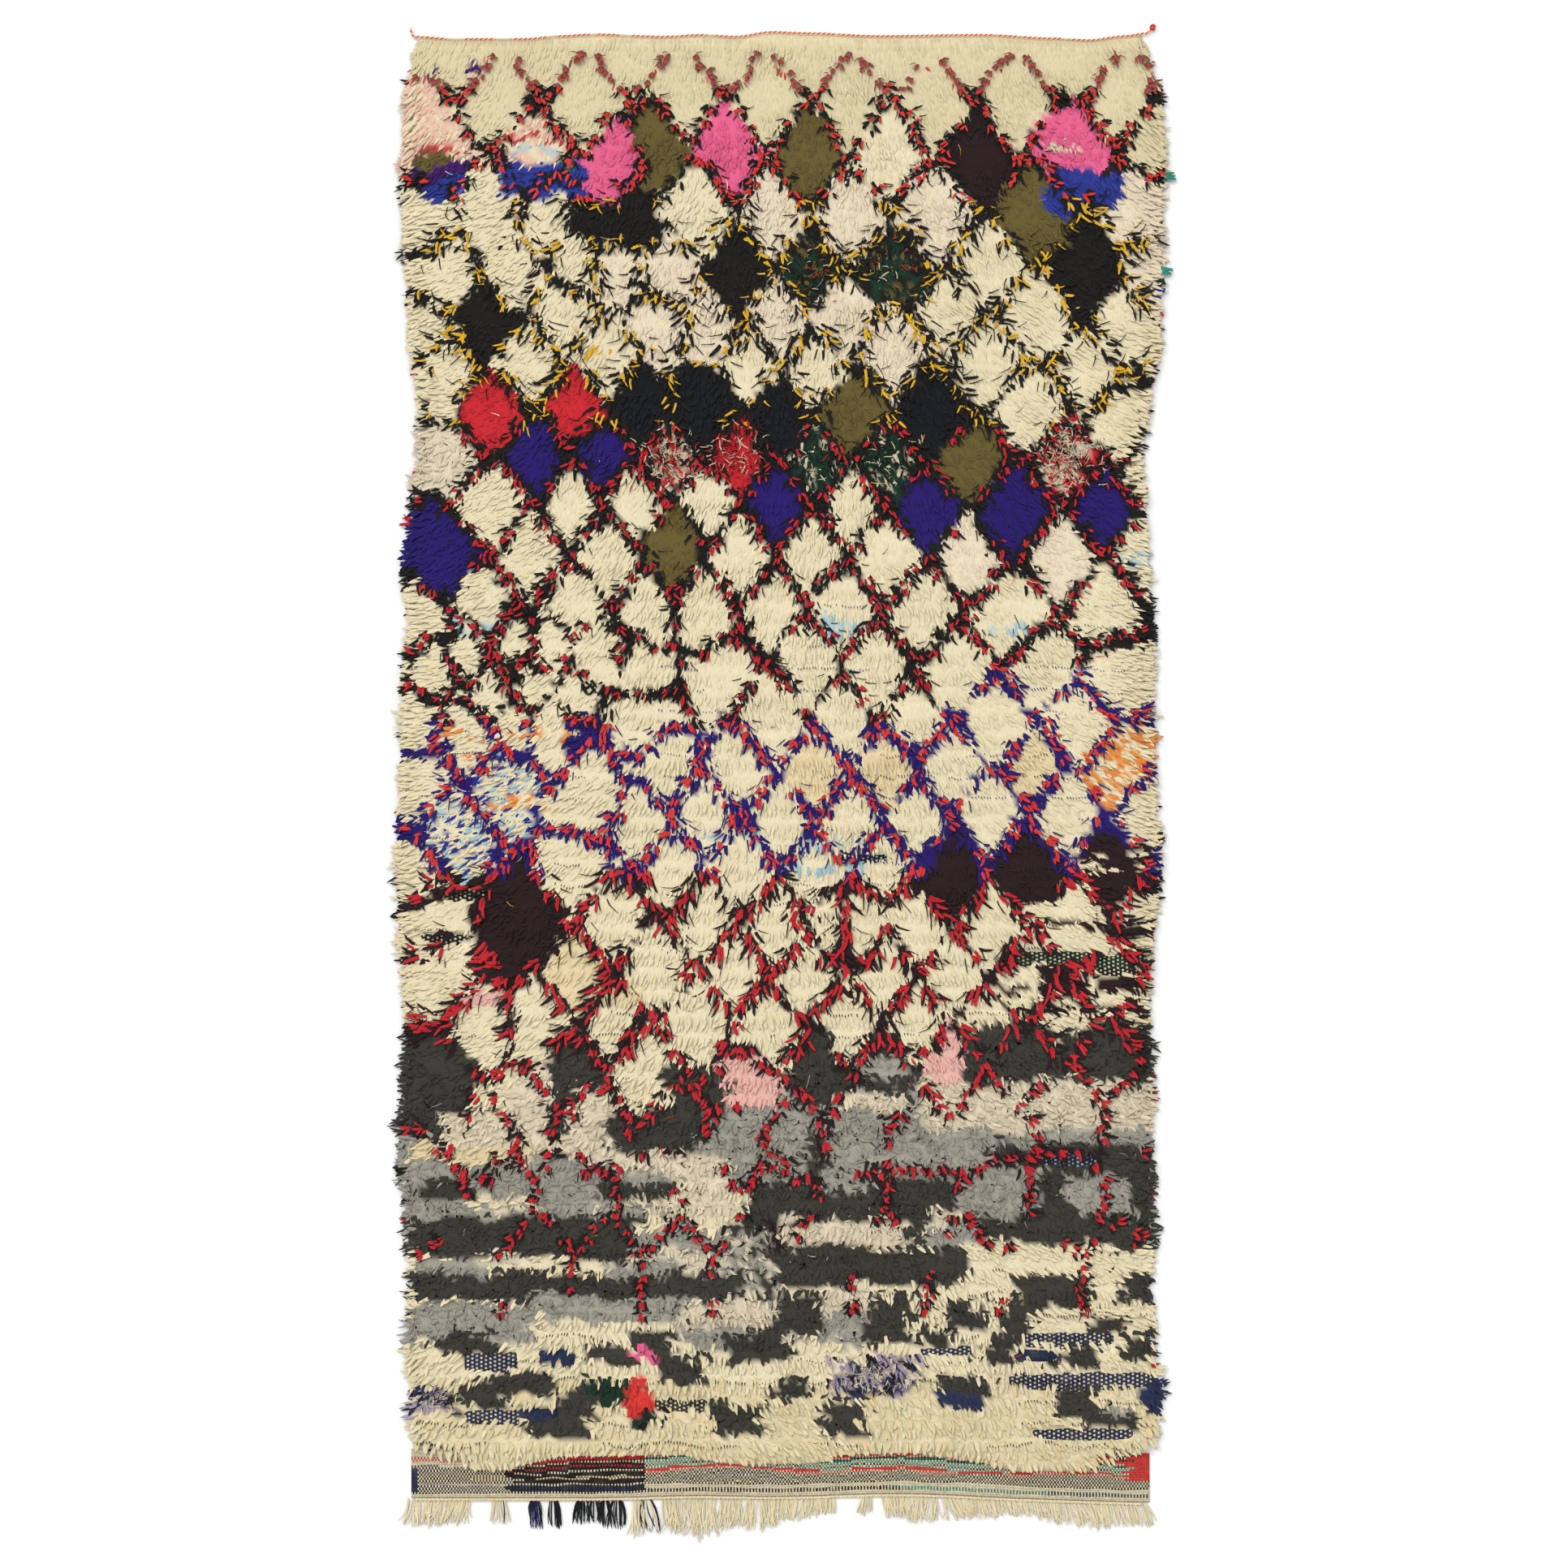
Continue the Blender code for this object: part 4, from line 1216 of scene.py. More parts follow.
def stray_threads(strands):
    """Long thin ends that have worked loose and lie over the pile."""
    across = chance.uniform(-0.58, 0.58, STRAYS)
    down = chance.uniform(0.16, 2.25, STRAYS)
    letters = chance.choice(list(STRAY_YARNS), STRAYS)
    for letter, x, depth in zip(letters, across, down):
        angle = float(lean(x, depth)) + chance.normal(0, 0.9)
        root = np.array([[x, HEADING - depth]])
        length = chance.uniform(0.02, 0.05)
        strands.add(letter, root, angle, length, 0.0017, 0.0175, chance.normal(0, 1.1), droop=0.15)


class Tangle(NamedTuple):
    across: float
    down: float
    half_width: float
    half_height: float
    threads: int
    letters: str


# Mixed rag lozenges with fine threads lying every way over them
TANGLES = [
    Tangle(-20, 72, 5.0, 4.5, 190, "wwwrrk"),
    Tangle(-8, 71, 5.0, 4.5, 170, "wwwrrk"),
    Tangle(49, 72, 6.5, 5.0, 240, "wwwwrrk"),
    Tangle(6, 73, 5.0, 5.0, 60, "wwDk"),
    Tangle(17, 72, 6.0, 3.5, 80, "wwDk"),
    Tangle(5, 40, 4.5, 4.5, 40, "wrDo"),
    Tangle(19, 39, 5.0, 4.5, 50, "wrDo"),
    Tangle(-58.5, 231, 4.0, 2.0, 50, "lcNk"),
    Tangle(15, 227, 7.0, 2.8, 110, "lcclN"),
]
TANGLE_REACH = 1.1
FINE_DROOP = 0.10
FINE_BODY = 0.8


def tangles(strands):
    """The fine threads of the tangles, laid every way."""
    for tangle in TANGLES:
        count = tangle.threads
        u, v = np.clip(chance.normal(0, 0.5, (2, count)), -TANGLE_REACH, TANGLE_REACH)
        across = (tangle.across + tangle.half_width * u) * CM
        down = (tangle.down + tangle.half_height * v) * CM
        root = np.stack([across, HEADING - down], axis=-1)
        letters = chance.choice(list(tangle.letters), count)
        angle = chance.uniform(0, 2 * math.pi, count)
        length = chance.uniform(0.012, 0.024, count)
        strands.add(letters, root, angle, length, 0.0022, 0.0170, chance.normal(0, 1.1, count),
                    droop=FINE_DROOP, body=FINE_BODY)


CURLS = 700
CURLS_FROM = 172
CURLS_TO = 223
CURLY_YARNS = "gGwrK"


def curls(strands):
    """Curly fibres of the matted greys, drawn out over the next colour."""
    across = chance.uniform(-DOTS_HALF, DOTS_HALF, CURLS)
    down = chance.uniform(CURLS_FROM, CURLS_TO, CURLS)
    drawn_across = across + chance.normal(0, 1.2, CURLS)
    letters = chart_letters(drawn_across, down + chance.normal(0, 1.2, CURLS))
    kept = np.isin(letters, list(CURLY_YARNS)) & ~in_patch(across, down)
    x, depth = across[kept] * CM, down[kept] * CM
    count = len(x)
    angle = lean(x, depth) + chance.normal(0, 1.1, count)
    length = chance.uniform(0.012, 0.026, count)
    bend = chance.choice([-1, 1], count) * chance.uniform(0.5, 1.7, count)
    strands.add(letters[kept], np.stack([x, HEADING - depth], axis=-1), angle, length, 0.0019,
                0.0150 * side_fall(x, depth), bend, droop=FINE_DROOP, body=FINE_BODY)


SIDE_LOCKS_START = 0.012
SIDE_LOCKS_END = 2.41
SIDE_LOCK_PITCH = 0.0085
SIDE_LOCK_STRANDS = 4
SIDE_LOCK_TURN = math.radians(74)
SIDE_LOCK_GROWTH = [(0, 0.6), (0.12, 1.0)]


def side_locks(strands):
    """Longer ends that stand out past the two sides."""
    count = SIDE_LOCK_STRANDS
    for side, column in ((-1, edges.left), (1, edges.right)):
        for depth in np.arange(SIDE_LOCKS_START, SIDE_LOCKS_END, SIDE_LOCK_PITCH):
            y = HEADING - depth
            x = float(column(y)) - side * PILE_INSET
            letters = chart_letters(np.array([x / CM]), np.array([depth / CM]))
            letter = yarn_letters(letters)[0]
            if chance.random() < 0.10:
                letter = chance.choice(list("kKr"))
            root = np.array([[x, y]] * count) + chance.normal(0, 0.004, (count, 2))
            angle = side * (SIDE_LOCK_TURN + chance.normal(0, 0.36, count))
            reach = chance.uniform(0.010, 0.021, count) * read(SIDE_LOCK_GROWTH, depth)
            reach = reach * (1.0 + 0.7 * float(clumps(0.3 * side, depth)))
            width = chance.uniform(0.0030, 0.0062, count)
            strands.add(letter, root, angle, reach, width, 0.0060, chance.normal(0, 0.15, count),
                        droop=0.8)


STRANDS_IN_PIECE = 15500


def strand_pieces(label, strands, rings, replaces=(), in_rows=False):
    """One piece for each yarn of the strands, split where a piece would be too heavy."""
    letters, roots, *columns = strands.columns()
    made = []
    for letter, yarn in YARNS.items():
        chosen = np.flatnonzero(letters == letter)
        if not len(chosen):
            continue
        if in_rows:
            chosen = chosen[np.argsort(-roots[chosen, 1], kind="stable")]
        parts = math.ceil(len(chosen) / STRANDS_IN_PIECE)
        for number, part in enumerate(np.array_split(chosen, parts), 1):
            name = f"{label}_{yarn.name}" + (f"_{number}" if parts > 1 else "")
            mesh = strand_mesh(name, [column[part] for column in (roots, *columns)], rings)
            made.append(new_piece(name, mesh, yarn_material(letter), replaces))
    return made


def make_pile():
    """All the pile: its fill, the lattice laid over it, and fine threads on top."""
    fill, laid, fine = Strands(), Strands(), Strands()
    field_strands(fill)
    side_locks(fill)
    weft_dots(fill)
    outline_strands(laid)
    stray_threads(fine)
    tangles(fine)
    curls(fine)
    made = []
    for label, strands, rings in (("pile", fill, 2), ("outline", laid, 3), ("thread", fine, 4)):
        made += strand_pieces(label, strands, rings, in_rows=True)
    return made


def grid_slab(name, xs, ys, top, floor):
    """A closed thin slab from grids of places and top heights, rows running down the rug."""
    rows, cols = xs.shape
    upper = np.stack([xs, ys, top], axis=-1).reshape(-1, 3)
    index = np.arange(rows * cols).reshape(rows, cols)
    a, b, c, d = index[:-1, :-1], index[1:, :-1], index[1:, 1:], index[:-1, 1:]
    shown = np.stack([a, b, c, d], axis=-1).reshape(-1, 4)
    rim = np.concatenate([index[0, :], index[1:, -1], index[-1, -2::-1], index[-2:0:-1, 0]])
    lower = upper[rim]
    lower[:, 2] = floor
    under = rows * cols + np.arange(len(rim))
    sides = np.stack([rim, np.roll(rim, -1), np.roll(under, -1), under], axis=-1)
    spots = np.concatenate([upper, lower])
    mesh = bpy.data.meshes.new(name)
    fill_mesh(mesh, spots, [*shown, *sides, under])
    add_slab_sheet(mesh, spots, len(shown) * 4, len(sides) * 4)
    return mesh


# The parts of the texture sheet for a slab's top, its sides and its back: start, then size
TOP_SHEET = (0.01, 0.01), (0.80, 0.98)
SIDES_SHEET = (0.83, 0.01), (0.03, 0.98)
BACK_SHEET = (0.88, 0.01), (0.10, 0.98)


def add_slab_sheet(mesh, spots, shown, sides):
    """Lay the slab out for its texture: the top, then its sides, then its back."""
    loops = np.zeros(len(mesh.loops), np.int32)
    mesh.loops.foreach_get("vertex_index", loops)
    flat = spots[loops][:, :2]
    flat = (flat - flat.min(0)) / (flat.max(0) - flat.min(0))
    strips = sides // 4
    along = (np.arange(strips)[:, None] + (0, 1, 1, 0)).reshape(-1) / strips
    flat[shown:shown + sides] = np.stack([np.tile((0, 0, 1, 1), strips), along], axis=-1)
    parts = (slice(None, shown), slice(shown, shown + sides), slice(shown + sides, None))
    for part, (start, size) in zip(parts, (TOP_SHEET, SIDES_SHEET, BACK_SHEET)):
        flat[part] = flat[part] * size + start
    layer = mesh.uv_layers.new(name=ATLAS)
    layer.data.foreach_set("uv", flat.astype(np.float32).reshape(-1))


# The ground cloth under the pile: its size, grid and room at the edges
GROUND_LENGTH = 2.42
GROUND_WIDTH = 1.26
GROUND_STEP = 0.0125
GROUND_INSET = 0.009
GROUND_FROM_HEADING = 0.0015
GROUND_FROM_END = 0.002

# The bed of knots on it: its share of the pile's height, how it slopes off, and a bare place's
BED_SHARES = [(0.0, 0.70), (0.20, 0.76), (1.60, 0.76), (1.85, 0.58), (2.44, 0.60)]
BED_SLOPE = 0.014
BARE_BED = 0.003


def make_ground():
    """The ground cloth with the bed of the knots, coloured by the chart."""
    depth = np.linspace(0, 1, round(GROUND_LENGTH / ROW_PITCH) + 1)
    share = np.linspace(0, 1, round(GROUND_WIDTH / GROUND_STEP) + 1)
    part, along = np.meshgrid(share, depth)
    xs = np.full_like(part, 0.5 * (edges.left(0.0) + edges.right(0.0)))
    # The edges bow, so places and edges are fitted to each other in turns
    for _ in range(3):
        top = edges.top(xs) - GROUND_FROM_HEADING
        ys = top + (HEADING - pile_end(xs) - GROUND_FROM_END - top) * along
        left = edges.left(ys) + GROUND_INSET
        right = edges.right(ys) - GROUND_INSET
        xs = left + (right - left) * part
    down = HEADING - ys
    room = np.minimum(xs - edges.left(ys), edges.right(ys) - xs) - GROUND_INSET
    ends = np.minimum(along * 4, 1 - along) * GROUND_LENGTH
    swell = np.clip(np.minimum(room, ends) / BED_SLOPE, 0, 1)
    full = pile_lift(xs, down, down / ROW_PITCH - 1)
    full[in_patch(xs / CM, down / CM)] = BARE_BED
    top = GROUND_TOP + read(BED_SHARES, down) * full * swell
    mesh = grid_slab("ground_cloth", xs, ys, top, GROUND_FLOOR)
    letters = yarn_letters(chart_letters(xs.reshape(-1) / CM, down.reshape(-1) / CM))
    tints = np.ones((len(mesh.vertices), 4))
    tints[:, :3] = linear(YARNS["t"].dark)
    for letter in set(letters):
        tints[:len(letters)][letters == letter, :3] = linear(YARNS[letter].light)
    add_attribute(mesh, "tint", "FLOAT_COLOR", tints)
    return new_piece("ground_cloth", mesh, ground_material(), ["rug_field"])


BED_STREAKS = (520.0, 90.0, 90.0)
WEAVE_RELIEF = 0.0012


def ground_material():
    """The knotted bed under the loose ends: the colours of the chart, matted and streaked."""
    shader = Shader("ground_weave", 0.95)
    streak = shader.noise(shader.stretched(shader.place(), BED_STREAKS), 1.0)
    shade = shader.mix(shader.spread(streak, 0.25, 0.75), (0.74, 0.73, 0.70), (1.0, 1.0, 1.0))
    shader.colour(shader.mix(1.0, shader.attribute("tint", "Color"), shade, "MULTIPLY"))
    shader.bump(streak, WEAVE_RELIEF, 0.5)
    return shader.material


# The flat-woven end, row by row from the foot up, in three parts across: weft and warp, which
# alternate as a check, or as upright bars where a stroke stands between them
FAR_LEFT_ROWS = "cc cc kc Nc kc Nc gc kc o|c o|c o|c o|c kc kc Nc kc cc cc Rc Rc cc cc cc cc"
LEFT_ROWS = "cc cc kc Nk kN Nk kc kk Kk oc kk Kk kc kk rk Kk kc rK rr kc rR rr kk kk"
RIGHT_ROWS = "cc cc k|c k|c cc cc kc Gc kc Nc kc Gc Rc RR Tc kc Tc Tc Tk Rc RR Rk kc kc"
LEFT_PART_END = -0.236
FAR_LEFT_PART_END = -0.465
BARE_PART_END = -0.53
NAVY_SELVAGE = -0.622
RED_CORNER = 0.585
RAGGED_FROM = 9
WIDEST_ROW = 15
NAVY_ROWS = 2, 15

# Waves of its rows, by their pace and height in rows, and how far they drop to the right
ROW_WAVES = (9, 1.3), (23, 0.8)
ROWS_DROP = [(0.20, 0), (0.38, 1)]
DROP = 1.5
BOWED_ROWS = [(6, 0), (12, 1)]
TEAL_BARS = 0.20, 0.45

# Its size, its room past the foot's corners, and how unevenly it is woven
BAND_DEPTH = 0.083
BAND_PITCH = 0.0027
BAND_CORNER = 0.030
BAND_HEIGHT = 0.0042
BAND_PAST_LEFT = 0.006
BAND_PAST_RIGHT = 0.010
BAND_FROM_FOOT = 0.0008
BAND_DRIFT = 0.0022
BAND_SCATTER = 0.0006


def end_band_letter(x, row, col):
    """The yarn on top at one crossing of the flat-woven end."""
    rows = RIGHT_ROWS
    if x < LEFT_PART_END:
        rows = FAR_LEFT_ROWS if x < FAR_LEFT_PART_END + 0.01 * math.sin(row) else LEFT_ROWS
    bow = sum(height * math.sin(pace * x) for pace, height in ROW_WAVES)
    bow += DROP * float(read(ROWS_DROP, x))
    bowed = row + round(bow * float(read(BOWED_ROWS, row)))
    pair = rows.split()[min(bowed, len(rows.split()) - 1)]
    if rows == RIGHT_ROWS and "|" in pair and x > TEAL_BARS[0]:
        pair = "T|c" if x < TEAL_BARS[1] else "N|c"
    if rows == FAR_LEFT_ROWS and "o" in pair and x < BARE_PART_END:
        pair = "kc"
    ragged = 0.012 * math.sin(1.7 * row) + 0.0015 * abs(row - WIDEST_ROW)
    if x > RED_CORNER + ragged and row > RAGGED_FROM:
        pair = "RR"
    if x < NAVY_SELVAGE and NAVY_ROWS[0] < row < NAVY_ROWS[1]:
        pair = "NN"
    shown = col % 2 if "|" in pair else (row + col) % 2
    return pair[0] if shown else pair[-1]


LEAST_WORN = 0.72
CORNERS = [(0, 0, 0), (0, 1, 0), (1, 1, 0), (1, 0, 0)]


def woven_mesh(name, xs, ys, floor, base, letter_at):
    """A thin woven sheet, with one face for each crossing of weft and warp."""
    rows, cols = xs.shape[0] - 1, xs.shape[1] - 1
    mesh = grid_slab(name, xs, ys, base + np.zeros_like(xs), floor)
    tints = np.ones((len(mesh.polygons), 4))
    tints[:, :3] = linear(YARNS["c"].dark)
    for face in range(rows * cols):
        yarn = YARNS[letter_at(face // cols, face % cols)]
        tints[face, :3] = chance.uniform(LEAST_WORN, 1.0) * np.array(linear(yarn.light))
    add_attribute(mesh, "tint", "FLOAT_COLOR", tints, "FACE")
    crossing = np.full((len(mesh.loops), 3), 0.5)
    crossing[:rows * cols * 4] = np.tile(CORNERS, (rows * cols, 1))
    add_attribute(mesh, "crossing", "FLOAT_VECTOR", crossing, "CORNER")
    return mesh


FUZZ_SCALE = 900.0
WORN_SCALE = 60.0


def woven_material():
    """Flat-woven yarns in the colours of their crossings, each bulging over the one below, with painted
    shade darkening each crossing towards its edges.
    """
    shader = Shader("flat_weave", 0.93)
    place = shader.place()
    crossing = shader.split(shader.attribute("crossing", "Vector"))
    half_turns = [shader.math("MULTIPLY", crossing[axis], math.pi) for axis in "XY"]
    bulge = shader.math("MULTIPLY", *(shader.math("SINE", turn) for turn in half_turns))
    fuzz = shader.noise(place, FUZZ_SCALE)
    worn = shader.noise(place, WORN_SCALE, 2.0, 0.5)
    relief = shader.math("ADD", bulge, shader.math("MULTIPLY", fuzz, 0.5))
    # Painted shade at the crossings' edges, where each yarn dips under the next, mixed with the fuzz's
    # tone
    shade = shader.mix(shader.spread(relief, 0.2, 1.2), (0.55, 0.55, 0.55), (1.0, 1.0, 1.0))
    body = shader.mix(1.0, shader.attribute("tint", "Color"), shade, "MULTIPLY")
    faded = shader.spread(worn, 0.5, 0.9, 0.0, 0.12)
    shader.colour(shader.mix(faded, body, linear("b9ad92")))
    shader.bump(relief, WEAVE_RELIEF, 0.7)
    shader.sheen(0.12)
    return shader.material


def make_end_band(material):
    """The flat-woven end below the pile, its rows parallel to the foot."""
    rows = len(RIGHT_ROWS.split())
    left, right = edges.feet[0][0] - BAND_PAST_LEFT, edges.feet[0][-1] + BAND_PAST_RIGHT
    cols = round((right - left) / BAND_PITCH)
    part, along = np.meshgrid(np.arange(cols + 1) / cols, np.arange(rows + 1) / rows)
    xs = left + (right - left) * part
    foot = edges.foot(np.clip(xs, left + BAND_CORNER, right - BAND_CORNER))
    ys = foot + BAND_FROM_FOOT + BAND_DEPTH * (1 - along)
    inner = np.sin(np.pi * along) ** 0.5
    ys = ys + BAND_DRIFT * inner * drift(xs, 0.4 * along)
    xs = xs + BAND_SCATTER * inner * np.sin(np.pi * part) * chance.normal(0, 1, xs.shape)

    def letter_at(row, col):
        return end_band_letter(left + (right - left) * (col + 0.5) / cols, rows - 1 - row, col)

    mesh = woven_mesh("flat_woven_end", xs, ys, 2 * GROUND_FLOOR, BAND_HEIGHT, letter_at)
    return new_piece("flat_woven_end", mesh, material, ["rug_field"])


# The weave in the bare places, its spare under the pile in centimetres, and its height
WEAVE_PITCH = 0.0038
WEFT_PITCH = 0.00346
PATCH_SPARE = 0.7
PATCH_DRIFT = 0.003
PATCH_RISE = 0.0062
PATCH_OVER_GROUND = 0.0005
PATCH_IN_GROUND = 0.001


def make_patches(material):
    """The bare places between rows of pile, where the flat weave shows."""
    made = []
    for number, patch in enumerate(PATCHES, 1):
        height = patch.bottom - patch.top + 2 * PATCH_SPARE
        cols = max(4, round((patch.right - patch.left) * CM / WEAVE_PITCH))
        rows = max(3, round(height * CM / WEFT_PITCH))
        part, along = np.meshgrid(np.arange(cols + 1) / cols, np.arange(rows + 1) / rows)
        xs = (patch.left + (patch.right - patch.left) * part) * CM
        top = HEADING - (patch.top - PATCH_SPARE) * CM + PATCH_DRIFT * drift(xs, 0.3)
        ys = top - height * CM * along
        bow = np.sin(np.pi * part) ** 0.5 * np.sin(np.pi * along) ** 0.5
        base = GROUND_TOP + PATCH_OVER_GROUND + PATCH_RISE * bow

        def letter_at(row, col, patch=patch):
            return patch.warp if col % 2 == 0 and (row + col // 2) % 2 else patch.weft

        name = f"flat_weave_patch_{number}"
        mesh = woven_mesh(name, xs, ys, GROUND_TOP - PATCH_IN_GROUND, base, letter_at)
        made.append(new_piece(name, mesh, material))
    return made


PLY_STEP = 0.0022
LEAST_SIDE = 1e-6


def tube_mesh(name, paths, radius, sides):
    """Closed round tubes along paths, each path an array of places."""
    spots, faces, tone, fibre = [], [], [], []
    turns = 2 * math.pi * np.arange(sides) / sides
    for path in paths:
        path = np.asarray(path, float)
        ahead = np.gradient(path, axis=0)
        ahead /= np.linalg.norm(ahead, axis=1)[:, None]
        side = np.cross(ahead, (0.0, 0.0, 1.0))
        side /= np.maximum(np.linalg.norm(side, axis=1), LEAST_SIDE)[:, None]
        up = np.cross(side, ahead)
        start = len(spots)
        shade = chance.uniform(0, 1)
        offset = chance.uniform(0, 9, 3)
        for k, place in enumerate(path):
            for turn in turns:
                out = radius * (math.cos(turn) * side[k] + math.sin(turn) * up[k])
                spots.append(place + out)
                fibre.append(offset + (*out[:2], 0.004 * k))
                tone.append(shade)
        last = start + (len(path) - 1) * sides
        for near in range(start, last, sides):
            for s in range(sides):
                after = near + (s + 1) % sides
                faces.append((near + s, after, after + sides, near + s + sides))
        faces.append(range(start + sides - 1, start - 1, -1))
        faces.append(range(last, last + sides))
    spots = np.array(spots)
    spots[:, 2] = np.maximum(spots[:, 2], GROUND_FLOOR)
    mesh = bpy.data.meshes.new(name)
    fill_mesh(mesh, spots, faces)
    add_yarn_attributes(mesh, np.array(fibre), np.array(tone), np.ones(len(spots)))
    return mesh


def twisted(path, gap, turns_per_metre, phase):
    """One ply of a twisted cord along a path."""
    steps = np.linalg.norm(np.diff(path, axis=0), axis=1)
    run = np.concatenate([[0], np.cumsum(steps)])
    places = np.arange(0, run[-1], PLY_STEP)
    line = np.stack([np.interp(places, run, path[:, k]) for k in range(3)], axis=-1)
    turn = 2 * math.pi * turns_per_metre * places + phase
    ahead = np.gradient(line, axis=0)
    ahead /= np.linalg.norm(ahead, axis=1)[:, None]
    side = np.cross(ahead, (0.0, 0.0, 1.0))
    return line + gap * (np.cos(turn)[:, None] * side + np.sin(turn)[:, None] * (0.0, 0.0, 1.0))


# The heading cord: its plies, its place over the heading, and its tails from the corners
CORD_GAP = 0.0010
CORD_TURNS = 120
CORD_PLY = 0.0013
CORD_OVER_HEADING = 0.0012
CORD_HEIGHT = 0.0052
LEFT_TAIL = [(-0.0050, 0.0145, -0.001), (-0.0040, 0.0070, 0.0)]
RIGHT_TAIL = [(0.0045, 0.0040, 0.0), (0.0105, 0.0115, 0.0)]

# The knot on its right tail, an open ring of thicker yarn
KNOT_PLACE = 0.0100
KNOT_RADIUS = 0.0032
KNOT_RISE = 0.001
KNOT_YARN = 0.0024
KNOT_TURN = 5.6


def make_heading_cord():
    """Two plies twined along the heading, orange-red and cream, with a tail at each corner."""
    xs = np.linspace(edges.tops[0][0], edges.tops[0][-1], 160)
    heights = np.full(len(xs), CORD_HEIGHT)
    run = np.stack([xs, edges.top(xs) + CORD_OVER_HEADING, heights], axis=-1)
    path = np.concatenate([run[0] + LEFT_TAIL, run, run[-1] + RIGHT_TAIL])
    turn = np.linspace(0, KNOT_TURN, 16)
    ring = (KNOT_PLACE + KNOT_RADIUS * np.cos(turn), KNOT_PLACE + KNOT_RADIUS * np.sin(turn))
    knot = run[-1] + np.stack([*ring, KNOT_RISE * np.sin(2 * turn)], axis=-1)
    made = []
    for name, line, radius, material in (
        ("heading_ply_cream", twisted(path, CORD_GAP, CORD_TURNS, 0.0), CORD_PLY, yarn_material("c")),
        ("heading_ply_orange", twisted(path, CORD_GAP, CORD_TURNS, math.pi), CORD_PLY,
         heading_material()),
        ("corner_knot", knot, KNOT_YARN, yarn_material("R")),
    ):
        mesh = tube_mesh(name, [line], radius, 6)
        made.append(new_piece(name, mesh, material, ["heading_cord"]))
    return made


WORN_STREAKS = (26.0, 1.0, 1.0)
WORN_FROM = 0.55


def heading_material():
    """Orange-red yarn, worn to cream in places along the heading's left half."""
    shader = Shader("heading_orange", 0.9)
    place = shader.place()
    patch = shader.noise(shader.stretched(place, WORN_STREAKS), 1.0, 2.0)
    bias = shader.spread(shader.split(place)["X"], -0.64, 0.5, 0.05, -0.14)
    over = shader.math("SUBTRACT", shader.math("ADD", patch, bias), WORN_FROM)
    fuzz = shader.noise(place, FUZZ_SCALE)
    bright = shader.mix(shader.spread(fuzz, 0.3, 0.7), linear("ee6a2c"), linear("d8432a"))
    shader.colour(shader.mix(shader.spread(over, -0.03, 0.03), bright, linear("e8dab4")))
    shader.bump(fuzz, 0.0008, 0.5)
    shader.sheen(0.15)
    return shader.material


class FringeRun(NamedTuple):
    start: float
    end: float
    yarns: str
    sway: float
    looped: bool = False


# The fringe from left to right; bare stretches are left out
FRINGE = [
    FringeRun(-0.640, -0.530, "c", -0.14),
    FringeRun(-0.494, -0.470, "ccccN", 0.0),
    FringeRun(-0.432, -0.410, "vnvn", 0.0, True),
    FringeRun(-0.402, -0.378, "n", 0.05, True),
    FringeRun(-0.352, -0.272, "nnk", 0.03, True),
    FringeRun(-0.256, -0.240, "c", 0.05),
    FringeRun(-0.242, -0.224, "kkc", 0.22, True),
    FringeRun(-0.205, -0.172, "c", 0.0),
    FringeRun(-0.165, 0.092, "c", -0.06),
    FringeRun(0.135, 0.150, "c", 0.0),
    FringeRun(0.168, 0.262, "c", 0.0),
    FringeRun(0.268, 0.400, "c", 0.26),
    FringeRun(0.400, 0.618, "c", 0.34),
]
CLUMP_PITCH = 0.0190
YARNS_IN_CLUMP = 14
FRINGE_YARN = 0.0029
FRINGE_BASE = 0.0016
FRINGE_FLARE = 0.10
LOOPED_FLARE = 0.34
LOOPED_ROOTS = 0.5

# The twined row over the roots of the fringe
TWINE_GAP = 0.0012
TWINE_TURNS = 70
TWINE_PLY = 0.0015
TWINE_INSET = 0.002
TWINE_BELOW_FOOT = 0.0022
TWINE_HEIGHT = 0.0040


